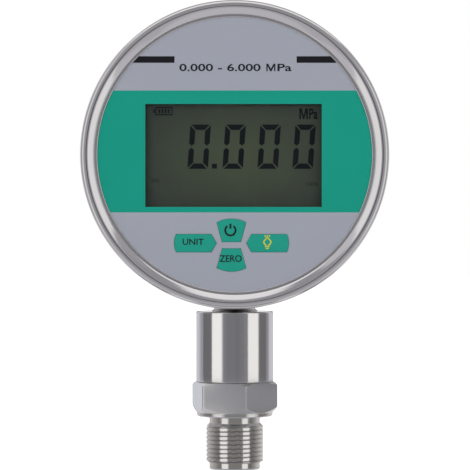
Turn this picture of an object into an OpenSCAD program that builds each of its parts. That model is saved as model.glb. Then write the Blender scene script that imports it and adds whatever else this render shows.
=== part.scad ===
// Digital pressure gauge: a round steel case with a segment display and four keys, on a threaded stem.
// Millimetres. The origin is the middle of the sealing face above the thread, +Z runs up the stem,
// and the display faces -Y.

/* [Connector] */
// Outer diameter of the male thread
thread_d = 20; // [18:0.5:24]
// Pitch of the thread
thread_pitch = 1.5; // [1:0.25:2]
// Length of the threaded stretch
thread_length = 14; // [9:0.5:20]
// Length of the run-out groove between the sealing face and the thread
relief_length = 2.1; // [1.5:0.1:4]
// Length of the plain pilot below the thread
pilot_length = 2.6; // [1.5:0.1:6]
// How far the pilot and the run-out groove lie below the thread's root
pilot_gap = 0.2; // [0.1:0.05:0.5]
// Diameter of the round collar that holds the sealing face
collar_d = 26.6; // [24.5:0.1:27]
// Height of the collar
collar_height = 1.5; // [1:0.1:4]
// Hexagon across its flats
hex_width = 27; // [26:1:32]
// Height of the hexagon
hex_height = 10.5; // [9:0.1:16]
// How far the hexagon is turned from square to the display, in degrees
hex_turn = 16; // [-30:1:30]
// Diameter of the pressure port
port_d = 3.5; // [2:0.5:6]

/* [Pressure cell] */
// Diameter of the pressure cell
cell_d = 19; // [16:0.5:19.5]
// Height of the pressure cell
cell_height = 6.5; // [5:0.5:8]
// Thickness of the sealing ring under the cell
cell_ring_t = 1.8; // [1.2:0.1:2.4]
// Height of the threaded ring that holds the cell down
retainer_height = 3; // [2.5:0.1:4.5]
// Diameter of the cell's small board
cell_board_d = 12.5; // [9:0.5:13]

/* [Barrel] */
// Outer diameter of the barrel
barrel_d = 27; // [26:0.5:30]
// Height of the barrel
barrel_height = 24.7; // [18:0.1:40]
// Wall of the barrel
barrel_wall = 2; // [1.5:0.1:2.2]
// Thickness of the barrel's closed top
barrel_top_t = 4; // [3:0.5:8]
// Height of the connector's spigot inside the barrel
spigot_height = 7; // [5.5:0.5:9]
// Diameter of the spigot that enters the case
neck_d = 12; // [10:0.5:13]
// Bore of that spigot
neck_bore_d = 6; // [4:0.5:8]
// Outer diameter of the rubber ring round the neck
neck_gasket_d = 14; // [13.5:0.5:18]
// Space between the barrel and the case
neck_gap = 3.9; // [3:0.1:8]

/* [Housing] */
// Outer diameter of the case's wall
case_d = 100; // [98:0.5:108]
// Sheet thickness of the case
case_wall = 1; // [0.8:0.1:1.5]
// Depth of the case, from its front flange to its back
case_depth = 35; // [34:0.5:45]
// Distance from the stem's axis to the case's back
case_behind = 18; // [17:0.5:20]
// Radius of the case's rear edge
case_edge_r = 4; // [2:0.5:5]
// Width of the flange rolled outwards at the case's front
flange_w = 1.6; // [1.2:0.1:2.5]
// Thickness of the rubber ring on that flange
case_gasket_t = 2; // [1:0.1:3]

/* [Bezel ring] */
// Diameter of the face that the ring leaves open
sight_d = 92.4; // [90:0.2:94]
// Rise of the ring's crest above the film
ring_rise = 2.5; // [2:0.1:4]
// Sheet thickness of the ring
ring_wall = 0.8; // [0.5:0.1:1]
// Radius of the ring's rounded shoulder
ring_shoulder_r = 2.4; // [1.8:0.1:2.8]
// Depth of the hem that holds the ring behind the flange
ring_hem = 3; // [2:0.5:6]

/* [Face] */
// Thickness of the face panel
panel_t = 2.5; // [2:0.1:4]
// Depth of the skirt round the panel's back
skirt_depth = 2.6; // [2:0.1:4]
// Width of that skirt
skirt_w = 2.4; // [1.5:0.1:3]
// Thickness of the printed film
film_t = 0.4; // [0.2:0.05:0.6]
// Width of the display's window
window_w = 60; // [50:1:62]
// Height of the display's window
window_h = 35; // [28:0.5:35.5]
// Height of the window's middle above the middle of the face
window_up = -0.3; // [-0.5:0.1:1.5]
// Middle of the display's window, to the right of the middle of the face
window_x = -0.4; // [-0.6:0.1:0.6]
// Thickness of the clear pane
pane_t = 1; // [0.8:0.1:1.4]

/* [Display] */
// Thickness of each glass of the display
glass_t = 1.1; // [0.7:0.1:1.2]
// How far the rear glass reaches past the window on each side
glass_lap = 2.7; // [2.4:0.1:2.8]
// Pitch of the display's pins
pin_pitch = 2.54; // [2:0.02:4]
// Thickness of the light guide behind the glass
guide_t = 2.6; // [1.5:0.1:2.8]

/* [Keys] */
// Middle of the keys, to the right of the middle of the face
keys_x = -1.1; // [-3:0.1:3]
// Middle of the upper and lower keys, below the middle of the face
keys_down = 30.8; // [30.7:0.1:32]
// How far a key travels when it is pressed
key_travel = 0.5; // [0.2:0.05:0.6]
// How far a key stands out of the film
key_proud = 0.35; // [0.2:0.05:0.8]
// Clearance round a key in its opening
key_gap = 0.15; // [0.1:0.05:0.25]
// Width of the upper and lower keys at their straight edge
arch_narrow = 6.2; // [5:0.1:7]
// Width of the upper and lower keys at their shoulders
arch_wide = 9.8; // [8:0.1:11]
// Height of the upper and lower keys
arch_height = 7.7; // [6.5:0.1:7.8]
// Half of the gap between the upper and the lower key
arch_gap = 1.2; // [1.15:0.05:2]
// Distance from the keys' middle to the point of a side key
side_tip = 5.15; // [5:0.05:7]
// Distance from the keys' middle to the far end of a side key
side_reach = 19.4; // [17:0.1:21]
// Height of a side key
side_height = 5.95; // [5:0.05:7]
// How far the side keys sit above the middle of the other two
side_up = 0.7; // [0:0.1:1.5]

/* [Board] */
// Diameter of the main board
board_d = 88; // [84:1:92]
// Thickness of the main board
board_t = 1.6; // [1:0.1:2]
// Distance from the panel to the board
board_gap = 6.4; // [6.1:0.1:8]
// Distance of the board's screws from the face's vertical and level middle lines
board_screw_at = 28.5; // [28:0.1:30]
// Width of a key switch
switch_w = 6; // [5:0.1:6.2]
// Height of a key switch's body
switch_height = 3.5; // [2.8:0.1:3.6]

/* [Battery] */
// Diameter of one battery
battery_d = 10.5; // [9:0.1:11]
// Length of one battery, with its nub
battery_length = 44.5; // [40:0.5:46]
// Number of batteries
battery_count = 3; // [1:1:3]
// Width of the battery door
door_w = 70; // [68:1:72]
// Height of the battery door
door_h = 50; // [48:1:52]
// Thickness of the battery door
door_t = 1.2; // [0.8:0.1:2]
// Thickness of the rubber ring under the door
door_gasket_t = 0.8; // [0.5:0.1:1.5]

/* [Hidden] */
$fn = 180;

// Shared clearances and the overrun of every cut
fit_gap = 0.05;
ring_gap = 0.1;
hole_gap = 0.15;
cut = 1;

// Connector: radii, and the shares of the pitch that a metric thread has
thread_r = thread_d / 2;
depth_share = 0.6134;
crest_share = 1 / 8;
root_share = 1 / 6;
thread_root_r = thread_r - depth_share * thread_pitch;
pilot_r = thread_root_r - pilot_gap;
pilot_bevel = 0.7;
collar_r = collar_d / 2;
collar_bevel = 0.4;
hex_flat_r = hex_width / 2;
hex_corner_r = hex_flat_r / cos(30);
hex_inset = 0.1;
hex_top_r = hex_flat_r + 0.4;
hex_top_angle = 30;
thread_low_z = -relief_length - thread_length;
tip_z = thread_low_z - pilot_length;
crest_count = floor(thread_length / thread_pitch);
hex_top_z = collar_height + hex_height;
hex_bevel = hex_corner_r - hex_flat_r + hex_inset;

// Pressure cell: it lies in a pocket that opens at the top of the spigot
barrel_bore_r = barrel_d / 2 - barrel_wall;
spigot_r = barrel_bore_r - fit_gap;
spigot_top_z = hex_top_z + spigot_height;
cell_r = cell_d / 2;
pocket_r = cell_r + fit_gap;
cell_top_z = spigot_top_z - retainer_height;
pocket_z = cell_top_z - cell_height;
cell_ring_r = cell_r - cell_ring_t;
retainer_lip = 2.4;
retainer_slot = 2;
cell_pin_count = 5;
cell_pin_r = 0.3;
cell_pin_ring_share = 0.6;
cell_pin_length = 2.2;
cell_board_r = cell_board_d / 2;
cell_board_t = 1;
cell_board_z = cell_top_z + cell_board_t;

// Barrel and neck
barrel_r = barrel_d / 2;
barrel_bevel = 0.5;
barrel_top_z = hex_top_z + barrel_height;
boss_r = neck_gasket_d / 2 + barrel_bevel;
boss_bevel = 0.7;
boss_height = 2;
neck_r = neck_d / 2;
washer_t = 2;
washer_w = 2.9;
washer_r = neck_r + washer_w;
nut_height = 5;
nut_wall = 2.5;
nut_flat_r = neck_r + nut_wall;
neck_proud = 1.2;

// Levels in front of the stem's axis; what lies behind the axis is negative
case_r = case_d / 2;
case_z = barrel_top_z + neck_gap + case_r;
case_low_z = case_z - case_r;
neck_top_z = case_low_z + case_wall + washer_t + nut_height + neck_proud;
back_v = -case_behind;
flange_v = case_depth - case_behind;
flange_r = case_r + flange_w;
skirt_v = flange_v + case_gasket_t;
panel_back_v = skirt_v + skirt_depth;
panel_front_v = panel_back_v + panel_t;
film_v = panel_front_v + film_t;
panel_r = flange_r - fit_gap;
skirt_r = panel_r - skirt_w;

// Bezel ring, with places across its width and up its rise as shares
ring_bore_r = flange_r + ring_gap;
ring_r = ring_bore_r + ring_wall;
sight_r = sight_d / 2;
crest_v = film_v + ring_rise;
ring_w = ring_r - sight_r;
lip_outer_shares = [
    [0, 0], [0, 0.12], [0.03, 0.18], [0.14, 0.21], [0.167, 0.18], [0.19, 0.32], [0.214, 0.48],
    [0.27, 0.608], [0.357, 0.76], [0.444, 0.9], [0.516, 0.98], [0.55, 0.998]
];
lip_inner_shares = [[0.49, 0.58], [0.333, 0.38], [0.278, 0.24], [0.254, 0]];

// Display stack
window_rim = 2;
pane_w = window_w + 2 * window_rim;
pane_h = window_h + 2 * window_rim;
pane_back_v = panel_front_v - pane_t;
glass_w = window_w + 2 * glass_lap;
glass_h = window_h + 2 * glass_lap;
glass_ledge = 1.6;
rear_glass_v = panel_back_v - 2 * glass_t;
board_v = panel_back_v - board_gap;
board_back_v = board_v - board_t;
frame_wall = 1.4;
guide_w = glass_w - 2 * frame_wall;
guide_h = glass_h - 2 * frame_wall;
led_w = 1.6;
led_h = 3;
led_at_share = 0.25;
pin_w = 0.5;
pin_t = 0.3;
pin_tail = 0.8;
pin_count = floor(glass_w / pin_pitch) - 1;
pin_top_up = window_up + glass_h / 2;

// Keys: outlines are drawn round the keys' middle
side_point = 1.7;
side_sag = 0.6;
arch_sag = 1.2;
key_step = 0.15;
key_bevel = 0.3;
key_lip = 0.6;
key_lip_t = 0.8;
post_r = 1.6;
plunger_r = 1.7;
plunger_out = 0.9;
plunger_in = 1.2;
plunger_v = board_v + switch_height + plunger_out;
arch_at = arch_gap + arch_height / 2;
side_at = (side_tip + side_reach) / 2;
arch_r = round_r(arch_wide, arch_sag);
side_r = round_r(side_height, side_sag);

// Main board
board_r = board_d / 2;
boss_wall = 1.4;
board_screw_r = 1.1;
board_boss_r = board_screw_r + boss_wall;
screw_head_r = 2.2;
screw_head_t = 1.5;
screw_slot_w = 0.6;
board_screw_reach = 5;
chip_gap_share = 0.1;

// Battery bay
battery_r = battery_d / 2;
battery_gap = 0.5;
battery_pitch = battery_d + battery_gap;
battery_nub_r = 1.9;
battery_nub = 1.2;
contact_t = 0.4;
contact_h = 6.8;
spring_length = 4.2;
spring_r = 3;
tray_wall = 1.5;
tray_rim_t = 1;
tray_w = battery_length + spring_length + 2 * contact_t;
tray_h = battery_count * battery_pitch + contact_t;
tray_depth = battery_d + tray_rim_t;
tray_floor_v = back_v - tray_rim_t + tray_depth;
battery_v = tray_floor_v - battery_r;
door_corner_r = 4;
door_v = back_v - tray_rim_t - door_gasket_t;
door_screw_inset = 4;
door_screw_r = 1.45;
door_head_r = 2.8;
door_head_t = 1.9;
door_slot_w = 0.8;
clinch_t = 3;
clinch_r = 2.9;
tab_w = 3;
tab_out = 2.4;
lead_r = 0.6;
sensor_lead_r = 1.4;
lead_sides = 8;
lead_steps = 14;
lead_rise = 9;

// Connectors between the cables and the board
socket_t = 4;
plug_t = 4.5;
socket_w = 9;
socket_h = 6;
plug_w = 7.5;
sensor_plug_up = -26;
battery_plug_x = 14;
battery_plug_up = 27;
plug_lead_v = board_back_v - socket_t - plug_t / 2;

// Radius of an arc from its chord and its sagitta
function round_r(chord, sag) = (chord * chord / 4 + sag * sag) / (2 * sag);

// A convex outline, listed anticlockwise, with every edge moved outwards by g
function outward(a, b) = let (d = b - a) [d[1], -d[0]] / norm(d);
function grown(outline, g) = let (n = len(outline)) [
    for (i = [0 : n - 1])
        let (n1 = outward(outline[(i + n - 1) % n], outline[i]),
             n2 = outward(outline[i], outline[(i + 1) % n]))
        outline[i] + g * (n1 + n2) / (1 + n1 * n2)
];

// Draws its children in the plane of the face, x to the right and y up, at level v in front of the axis
module face_at(v) translate([0, -v, case_z]) rotate([90, 0, 0]) children();

// A plate with round corners, centred on x and y
module rounded_plate(w, h, t, r) {
    translate([-w / 2, -h / 2 + r, 0]) cube([w, h - 2 * r, t]);
    translate([-w / 2 + r, -h / 2, 0]) cube([w - 2 * r, h, t]);
    for (x = [-1, 1], y = [-1, 1]) translate([x * (w / 2 - r), y * (h / 2 - r), 0]) cylinder(t, r, r);
}

// A block centred on x and y that stands on z = 0
module block(w, h, t) translate([-w / 2, -h / 2, 0]) cube([w, h, t]);

// Places its children at the four corners of a rectangle
module at_corners(x, y) for (i = [-1, 1], j = [-1, 1]) translate([i * x, j * y, 0]) children();

// A ring between two radii
module ring(r_out, r_in, h) difference() {
    cylinder(h, r_out, r_out);
    translate([0, 0, -cut]) cylinder(h + 2 * cut, r_in, r_in);
}

// A pan head with a cross recess, its seat on z = 0 and its shank below
module pan_screw(head_r, head_t, slot_w, shank_r, shank) {
    difference() {
        union() {
            cylinder(head_t / 2, head_r, head_r);
            translate([0, 0, head_t / 2]) cylinder(head_t / 2, head_r, head_r - head_t / 2);
        }
        translate([0, 0, head_t / 2]) {
            block(slot_w, head_r, head_t);
            block(head_r, slot_w, head_t);
        }
    }
    translate([0, 0, -shank]) cylinder(shank + fit_gap, shank_r, shank_r);
}

// Points on a curve from a to b that leaves a and reaches b straight upwards
function bend(a, b, rise) = [
    for (s = [0 : lead_steps])
        let (t = s / lead_steps, up = [0, 0, rise], r = 1 - t)
        r * r * r * a + 3 * r * r * t * (a + up) + 3 * r * t * t * (b - up) + t * t * t * b
];

// A round tube swept along a path that never runs along the vector across
module tube(path, r, across) {
    n = len(path);
    rings = [
        for (i = [0 : n - 1])
            let (t = path[min(i + 1, n - 1)] - path[max(i - 1, 0)],
                 u = cross(t, across) / norm(cross(t, across)),
                 w = cross(u, t) / norm(cross(u, t)))
            for (k = [0 : lead_sides - 1])
                let (a = 360 * k / lead_sides) path[i] + r * (cos(a) * u + sin(a) * w)
    ];
    sides = [
        for (i = [0 : n - 2], k = [0 : lead_sides - 1])
            let (a = i * lead_sides + k, b = i * lead_sides + (k + 1) % lead_sides)
            each [[a, b, a + lead_sides], [b, b + lead_sides, a + lead_sides]]
    ];
    low = [for (k = [0 : lead_sides - 1]) lead_sides - 1 - k];
    high = [for (k = [0 : lead_sides - 1]) (n - 1) * lead_sides + k];
    polyhedron(rings, concat(sides, [low, high]));
}

// Half of the section of the connector: pilot, thread crests, run-out groove, collar and spigot
function crest_points(k) = let (z = thread_low_z + thread_pitch * (k + 0.5)) [
    [thread_root_r, z - thread_pitch * (1 - root_share) / 2],
    [thread_r, z - thread_pitch * crest_share / 2],
    [thread_r, z + thread_pitch * crest_share / 2],
    [thread_root_r, z + thread_pitch * (1 - root_share) / 2]
];
connector_section = [
    [0, tip_z], [pilot_r - pilot_bevel, tip_z], [pilot_r, tip_z + pilot_bevel], [pilot_r, thread_low_z],
    for (k = [0 : crest_count - 1]) each crest_points(k),
    [pilot_r, -relief_length], [pilot_r, 0], [collar_r - collar_bevel, 0], [collar_r, collar_bevel],
    [collar_r, collar_height], [spigot_r, collar_height + cut], [spigot_r, spigot_top_z],
    [0, spigot_top_z]
];

module hexagon() intersection() {
    rotate([0, 0, -hex_turn]) translate([0, 0, collar_height])
        cylinder(hex_height, hex_corner_r, hex_corner_r, $fn = 6);
    rotate_extrude() polygon([
        [0, collar_height], [hex_flat_r - hex_inset, collar_height],
        [hex_corner_r + cut, collar_height + hex_bevel + cut],
        [hex_corner_r + cut, hex_top_z - (hex_corner_r + cut - hex_top_r) * tan(hex_top_angle)],
        [hex_top_r, hex_top_z], [0, hex_top_z]
    ]);
}

module process_connector() color("#b9bbbe") difference() {
    union() {
        rotate_extrude() polygon(connector_section);
        hexagon();
    }
    translate([0, 0, tip_z - cut]) cylinder(pocket_z - tip_z + 2 * cut, port_d / 2, port_d / 2);
    translate([0, 0, pocket_z]) cylinder(spigot_top_z - pocket_z + cut, pocket_r, pocket_r);
    translate([0, 0, pocket_z - cell_ring_t])
        ring(cell_ring_r + cell_ring_t / 2 + fit_gap, cell_ring_r - cell_ring_t / 2 - fit_gap,
             cell_ring_t + cut);
}

module sensor_oring() color("#26262a") translate([0, 0, pocket_z - cell_ring_t / 2])
    rotate_extrude() translate([cell_ring_r, 0]) circle(cell_ring_t / 2);

module sensor_capsule() color("#c9cacc") translate([0, 0, pocket_z])
    cylinder(cell_height, cell_r, cell_r);

module sensor_retainer() color("#a8a9ad") translate([0, 0, cell_top_z]) difference() {
    ring(cell_r, cell_r - retainer_lip, retainer_height);
    translate([0, 0, retainer_height / 2]) block(cell_d + cut, retainer_slot, retainer_height);
}

module cell_pins(r, z, h) for (k = [0 : cell_pin_count - 1])
    rotate([0, 0, 360 * k / cell_pin_count])
        translate([cell_board_r * cell_pin_ring_share, 0, z]) cylinder(h, r, r);

module sensor_pins() color("#c7a44a") cell_pins(cell_pin_r, cell_top_z, cell_pin_length);

module sensor_board() color("#1f6b45") difference() {
    translate([0, 0, cell_board_z]) cylinder(cell_board_t, cell_board_r, cell_board_r);
    cell_pins(cell_pin_r + fit_gap, cell_board_z - cut, cell_board_t + 2 * cut);
}

module stem_barrel() color("#b4b6b9") difference() {
    rotate_extrude() polygon([
        [0, hex_top_z], [barrel_r, hex_top_z], [barrel_r, barrel_top_z - barrel_bevel],
        [barrel_r - barrel_bevel, barrel_top_z], [boss_r + boss_bevel, barrel_top_z],
        [boss_r, barrel_top_z + boss_bevel], [boss_r, barrel_top_z + boss_height],
        [neck_r, barrel_top_z + boss_height],
        [neck_r, neck_top_z - barrel_bevel], [neck_r - barrel_bevel, neck_top_z], [0, neck_top_z]
    ]);
    translate([0, 0, hex_top_z - cut])
        cylinder(barrel_height - barrel_top_t + cut, barrel_bore_r, barrel_bore_r);
    translate([0, 0, hex_top_z]) cylinder(neck_top_z, neck_bore_d / 2, neck_bore_d / 2);
}

module neck_gasket() color("#1d1d1f") difference() {
    translate([0, 0, barrel_top_z + boss_height])
        ring(neck_gasket_d / 2, neck_r + fit_gap, neck_gap - boss_height + case_wall);
    face_at(back_v) cylinder(case_depth, case_r, case_r);
}

module neck_washer() color("#9fa1a5") intersection() {
    translate([0, 0, case_low_z]) ring(washer_r, neck_r + fit_gap, case_wall + washer_t);
    face_at(back_v) cylinder(case_depth, case_r - case_wall, case_r - case_wall);
}

module neck_nut() color("#b0b2b5") translate([0, 0, case_low_z + case_wall + washer_t]) difference() {
    cylinder(nut_height, nut_flat_r / cos(30), nut_flat_r / cos(30), $fn = 6);
    translate([0, 0, -cut]) cylinder(nut_height + 2 * cut, neck_r + fit_gap, neck_r + fit_gap);
}

// The cell's cable runs up the barrel and the neck, then forward to the plug on the board
sensor_lead_end = [0, -plug_lead_v, case_z + sensor_plug_up - socket_h / 2];
sensor_route = concat(
    [[0, 0, cell_board_z + cell_board_t]],
    bend([0, 0, neck_top_z], sensor_lead_end - [0, 0, lead_r], (sensor_lead_end[2] - neck_top_z) * 0.4),
    [sensor_lead_end]
);

module sensor_lead() color("#3a3a3e") tube(sensor_route, sensor_lead_r, [1, 0, 0]);

// A socket on the board's back and the plug behind it
module socket_block(x, up) face_at(board_back_v - socket_t) translate([x, up, 0])
    block(socket_w, socket_h, socket_t);
module plug_block(x, up) face_at(board_back_v - socket_t - plug_t) translate([x, up, 0])
    block(plug_w, socket_h, plug_t);

module sensor_plug() color("#e9e6dc") plug_block(0, sensor_plug_up);
module sensor_socket() color("#f1efe8") socket_block(0, sensor_plug_up);
module battery_plug() color("#e9e6dc") plug_block(battery_plug_x, battery_plug_up);
module battery_socket() color("#f1efe8") socket_block(battery_plug_x, battery_plug_up);

// A drawn cup, solid, with a round rear edge
module cup(r, back, front, edge) rotate_extrude() {
    square_between(0, back, r - edge, front);
    square_between(0, back + edge, r, front);
    translate([r - edge, back + edge]) circle(edge);
}
module square_between(x0, y0, x1, y1) translate([x0, y0]) square([x1 - x0, y1 - y0]);

module case_body() color("#aeb0b4") difference() {
    face_at(0) {
        difference() {
            union() {
                cup(case_r, back_v, flange_v, case_edge_r);
                translate([0, 0, flange_v - case_wall]) cylinder(case_wall, flange_r, flange_r);
            }
            cup(case_r - case_wall, back_v + case_wall, flange_v + cut, case_edge_r - case_wall);
            translate([0, 0, back_v - cut])
                rounded_plate(tray_w + 2 * tray_wall + 2 * hole_gap, tray_h + 2 * tray_wall + 2 * hole_gap,
                              case_wall + 2 * cut, tray_wall);
            translate([0, 0, back_v - cut]) door_holes(case_wall + 2 * cut);
        }
    }
    translate([0, 0, case_low_z - cut])
        cylinder(case_wall + washer_t + cut, neck_r + hole_gap, neck_r + hole_gap);
}

module case_gasket() color("#232326") face_at(flange_v) ring(panel_r, skirt_r, case_gasket_t);

// Section of the bezel ring: lip, inner slope, crest, round shoulder, wall and hem
shoulder = [ring_r - ring_shoulder_r, crest_v - ring_shoulder_r];
hem_v = flange_v - case_wall - ring_hem;
hem_r = case_r + fit_gap;
hem_corner = [ring_r - ring_wall, hem_v + ring_wall];
lip_outer = [for (s = lip_outer_shares) [sight_r + s[0] * ring_w, film_v + s[1] * ring_rise]];
lip_inner = [for (s = lip_inner_shares) [sight_r + s[0] * ring_w, film_v + s[1] * ring_rise]];

module swept_circle(at, r) rotate_extrude() translate(at) circle(r);

module bezel_ring() color("#c3c4c8") face_at(0) difference() {
    union() {
        rotate_extrude() polygon(concat(lip_outer, [
            [shoulder[0], crest_v], shoulder, [ring_r, shoulder[1]], [ring_r, hem_corner[1]], hem_corner,
            [hem_corner[0], hem_v], [sight_r, hem_v]
        ]));
        swept_circle(shoulder, ring_shoulder_r);
        swept_circle(hem_corner, ring_wall);
    }
    rotate_extrude() polygon(concat(lip_inner, [
        [sight_r - cut, film_v], [sight_r - cut, hem_v - cut], [hem_r, hem_v - cut],
        [hem_r, flange_v - case_wall], [ring_bore_r, flange_v - case_wall], [ring_bore_r, shoulder[1]],
        shoulder, [shoulder[0], crest_v - ring_wall]
    ]));
    swept_circle(shoulder, ring_shoulder_r - ring_wall);
}

// Battery door: its screw holes, and what they pass through
module door_holes(h) at_corners(door_w / 2 - door_screw_inset, door_h / 2 - door_screw_inset)
    cylinder(h, door_screw_r + hole_gap, door_screw_r + hole_gap);

module clinch_nuts() color("#c8c9cc") face_at(back_v + case_wall)
    at_corners(door_w / 2 - door_screw_inset, door_h / 2 - door_screw_inset)
        ring(clinch_r, door_screw_r + fit_gap, clinch_t);

// Where each battery lies across the bay; every second one is turned round
function battery_up(k) = (k - (battery_count - 1) / 2) * battery_pitch;
function battery_way(k) = k % 2 == 0 ? 1 : -1;

// The two solder tabs, at the first battery's nub and at the last battery's spring
function tab_x(k) = battery_way(k) * (tray_w - contact_t) / 2;
first_tab = [tab_x(0), battery_up(0)];
last_tab = [-tab_x(battery_count - 1), battery_up(battery_count - 1)];

module battery_tray() color("#2b2c30") face_at(back_v - tray_rim_t) difference() {
    union() {
        rounded_plate(door_w, door_h, tray_rim_t, door_corner_r);
        rounded_plate(tray_w + 2 * tray_wall, tray_h + 2 * tray_wall, tray_depth + tray_wall, tray_wall);
    }
    translate([0, 0, -cut]) block(tray_w, tray_h, tray_depth + cut);
    translate([0, 0, -cut]) door_holes(tray_rim_t + 2 * cut);
    for (p = [first_tab, last_tab]) translate([p[0], p[1], tray_depth - cut])
        block(contact_t + 2 * fit_gap, tab_w + 2 * fit_gap, tray_wall + 2 * cut);
}

module battery_cells() color("#3f4347") for (k = [0 : battery_count - 1])
    face_at(battery_v) translate([0, battery_up(k), 0]) rotate([0, battery_way(k) * 90, 0]) {
        end = tray_w / 2 - contact_t;
        translate([0, 0, end - battery_length]) cylinder(battery_length - battery_nub, battery_r, battery_r);
        translate([0, 0, end - battery_nub - fit_gap])
            cylinder(battery_nub + fit_gap, battery_nub_r, battery_nub_r);
    }

// An end plate for one battery, or for two neighbours that it joins in series
module contact_plate(x, up, h) face_at(tray_floor_v - battery_d) translate([x, up, 0])
    block(contact_t, h, battery_d);

module battery_contacts() color("#c9cbce") {
    for (k = [0 : battery_count - 2])
        contact_plate(-tab_x(k), (battery_up(k) + battery_up(k + 1)) / 2, battery_pitch + contact_h);
    for (p = [first_tab, last_tab]) {
        contact_plate(p[0], p[1], contact_h);
        face_at(tray_floor_v) translate([p[0], p[1], 0]) block(contact_t, tab_w, tray_wall + tab_out);
    }
}

module battery_springs() color("#d3d4d6") for (k = [0 : battery_count - 1])
    face_at(battery_v) translate([0, battery_up(k), 0]) rotate([0, battery_way(k) * 90, 0])
        translate([0, 0, -tray_w / 2 + contact_t]) cylinder(spring_length, spring_r, spring_r / 2);

// The battery leads run from the tray's solder tabs forward and up to the plug
tab_v = tray_floor_v + tray_wall + tab_out / 2;
function lead_route(tab, side) = let (
    out = tab[0] - sign(tab[0]) * (contact_t / 2 + lead_r),
    low = [out, -tab_v, case_z + tab[1]],
    high = [battery_plug_x + side * socket_w / 4, -plug_lead_v, case_z + battery_plug_up - socket_h / 2])
    concat([low], bend(low + [0, 0, tab_w], high - [0, 0, socket_h / 2], lead_rise), [high]);

module battery_lead_positive() color("#b3322c") tube(lead_route(first_tab, 1), lead_r, [0, 1, 0]);
module battery_lead_negative() color("#222226") tube(lead_route(last_tab, -1), lead_r, [0, 1, 0]);

module door_gasket() color("#1f1f22") face_at(door_v) difference() {
    rounded_plate(door_w, door_h, door_gasket_t, door_corner_r);
    translate([0, 0, -cut]) block(tray_w, tray_h, door_gasket_t + 2 * cut);
    translate([0, 0, -cut]) door_holes(door_gasket_t + 2 * cut);
}

module battery_door() color("#b1b3b7") face_at(door_v - door_t) difference() {
    rounded_plate(door_w, door_h, door_t, door_corner_r);
    translate([0, 0, -cut]) door_holes(door_t + 2 * cut);
}

module door_screws() color("#d0d1d4") face_at(door_v - door_t)
    at_corners(door_w / 2 - door_screw_inset, door_h / 2 - door_screw_inset) mirror([0, 0, 1])
        pan_screw(door_head_r, door_head_t, door_slot_w, door_screw_r,
                  door_t + door_gasket_t + tray_rim_t + case_wall + clinch_t);

// Key outlines round the keys' middle, grown by g
module arch_outline(g) intersection() {
    polygon(grown([[-arch_narrow / 2, arch_gap], [arch_narrow / 2, arch_gap],
                   [arch_wide / 2 + arch_flare(), arch_gap + arch_height],
                   [-arch_wide / 2 - arch_flare(), arch_gap + arch_height]], g));
    translate([0, arch_gap + arch_height - arch_r]) circle(arch_r + g);
}
// The sides lean outwards, so they are drawn on past the shoulders to the top of the arch
function arch_flare() = (arch_wide - arch_narrow) / 2 * arch_sag / (arch_height - arch_sag);

module side_outline(g) intersection() {
    polygon(grown([[side_tip, 0], [side_tip + side_point, -side_height / 2], [side_reach, -side_height / 2],
                   [side_reach, side_height / 2], [side_tip + side_point, side_height / 2]], g));
    translate([side_reach - side_r, 0]) circle(side_r + g);
}

// The four places: upper, lower, left and right
module upper_key(g) translate([keys_x, -keys_down]) arch_outline(g);
module lower_key(g) translate([keys_x, -keys_down]) mirror([0, 1]) arch_outline(g);
module left_key(g) translate([keys_x, side_up - keys_down]) mirror([1, 0]) side_outline(g);
module right_key(g) translate([keys_x, side_up - keys_down]) side_outline(g);
upper_at = [keys_x, arch_at - keys_down];
lower_at = [keys_x, -arch_at - keys_down];
left_at = [keys_x - side_at, side_up - keys_down];
right_at = [keys_x + side_at, side_up - keys_down];
switch_places = [upper_at, lower_at, left_at, right_at];

// All four openings through a sheet
module key_openings(v, h) face_at(v) linear_extrude(h) {
    upper_key(key_gap);
    lower_key(key_gap);
    left_key(key_gap);
    right_key(key_gap);
}

// The post that reaches from a key's lip back to its switch
module key_post(at) face_at(plunger_v) translate([at[0], at[1], 0])
    cylinder(panel_back_v - plunger_v, post_r, post_r);

module key_power() color("#169f82") {
    face_at(panel_back_v) linear_extrude(panel_t + film_t + key_proud - key_step) upper_key(0);
    face_at(film_v + key_proud - key_step) linear_extrude(key_step) upper_key(-key_bevel);
    face_at(panel_back_v - key_lip_t) linear_extrude(key_lip_t) upper_key(key_lip);
    key_post(upper_at);
}

module key_zero() color("#169f82") {
    face_at(panel_back_v) linear_extrude(panel_t + film_t + key_proud - key_step) lower_key(0);
    face_at(film_v + key_proud - key_step) linear_extrude(key_step) lower_key(-key_bevel);
    face_at(panel_back_v - key_lip_t) linear_extrude(key_lip_t) lower_key(key_lip);
    key_post(lower_at);
}

module key_unit() color("#169f82") {
    face_at(panel_back_v) linear_extrude(panel_t + film_t + key_proud - key_step) left_key(0);
    face_at(film_v + key_proud - key_step) linear_extrude(key_step) left_key(-key_bevel);
    face_at(panel_back_v - key_lip_t) linear_extrude(key_lip_t) left_key(key_lip);
    key_post(left_at);
}

module key_light() color("#169f82") {
    face_at(panel_back_v) linear_extrude(panel_t + film_t + key_proud - key_step) right_key(0);
    face_at(film_v + key_proud - key_step) linear_extrude(key_step) right_key(-key_bevel);
    face_at(panel_back_v - key_lip_t) linear_extrude(key_lip_t) right_key(key_lip);
    key_post(right_at);
}

module plunger(at) color("#1c1c1e") face_at(board_v + switch_height - plunger_in)
    translate([at[0], at[1], 0]) cylinder(plunger_in + plunger_out, plunger_r, plunger_r);
module plunger_power() plunger(upper_at);
module plunger_zero() plunger(lower_at);
module plunger_unit() plunger(left_at);
module plunger_light() plunger(right_at);

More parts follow.
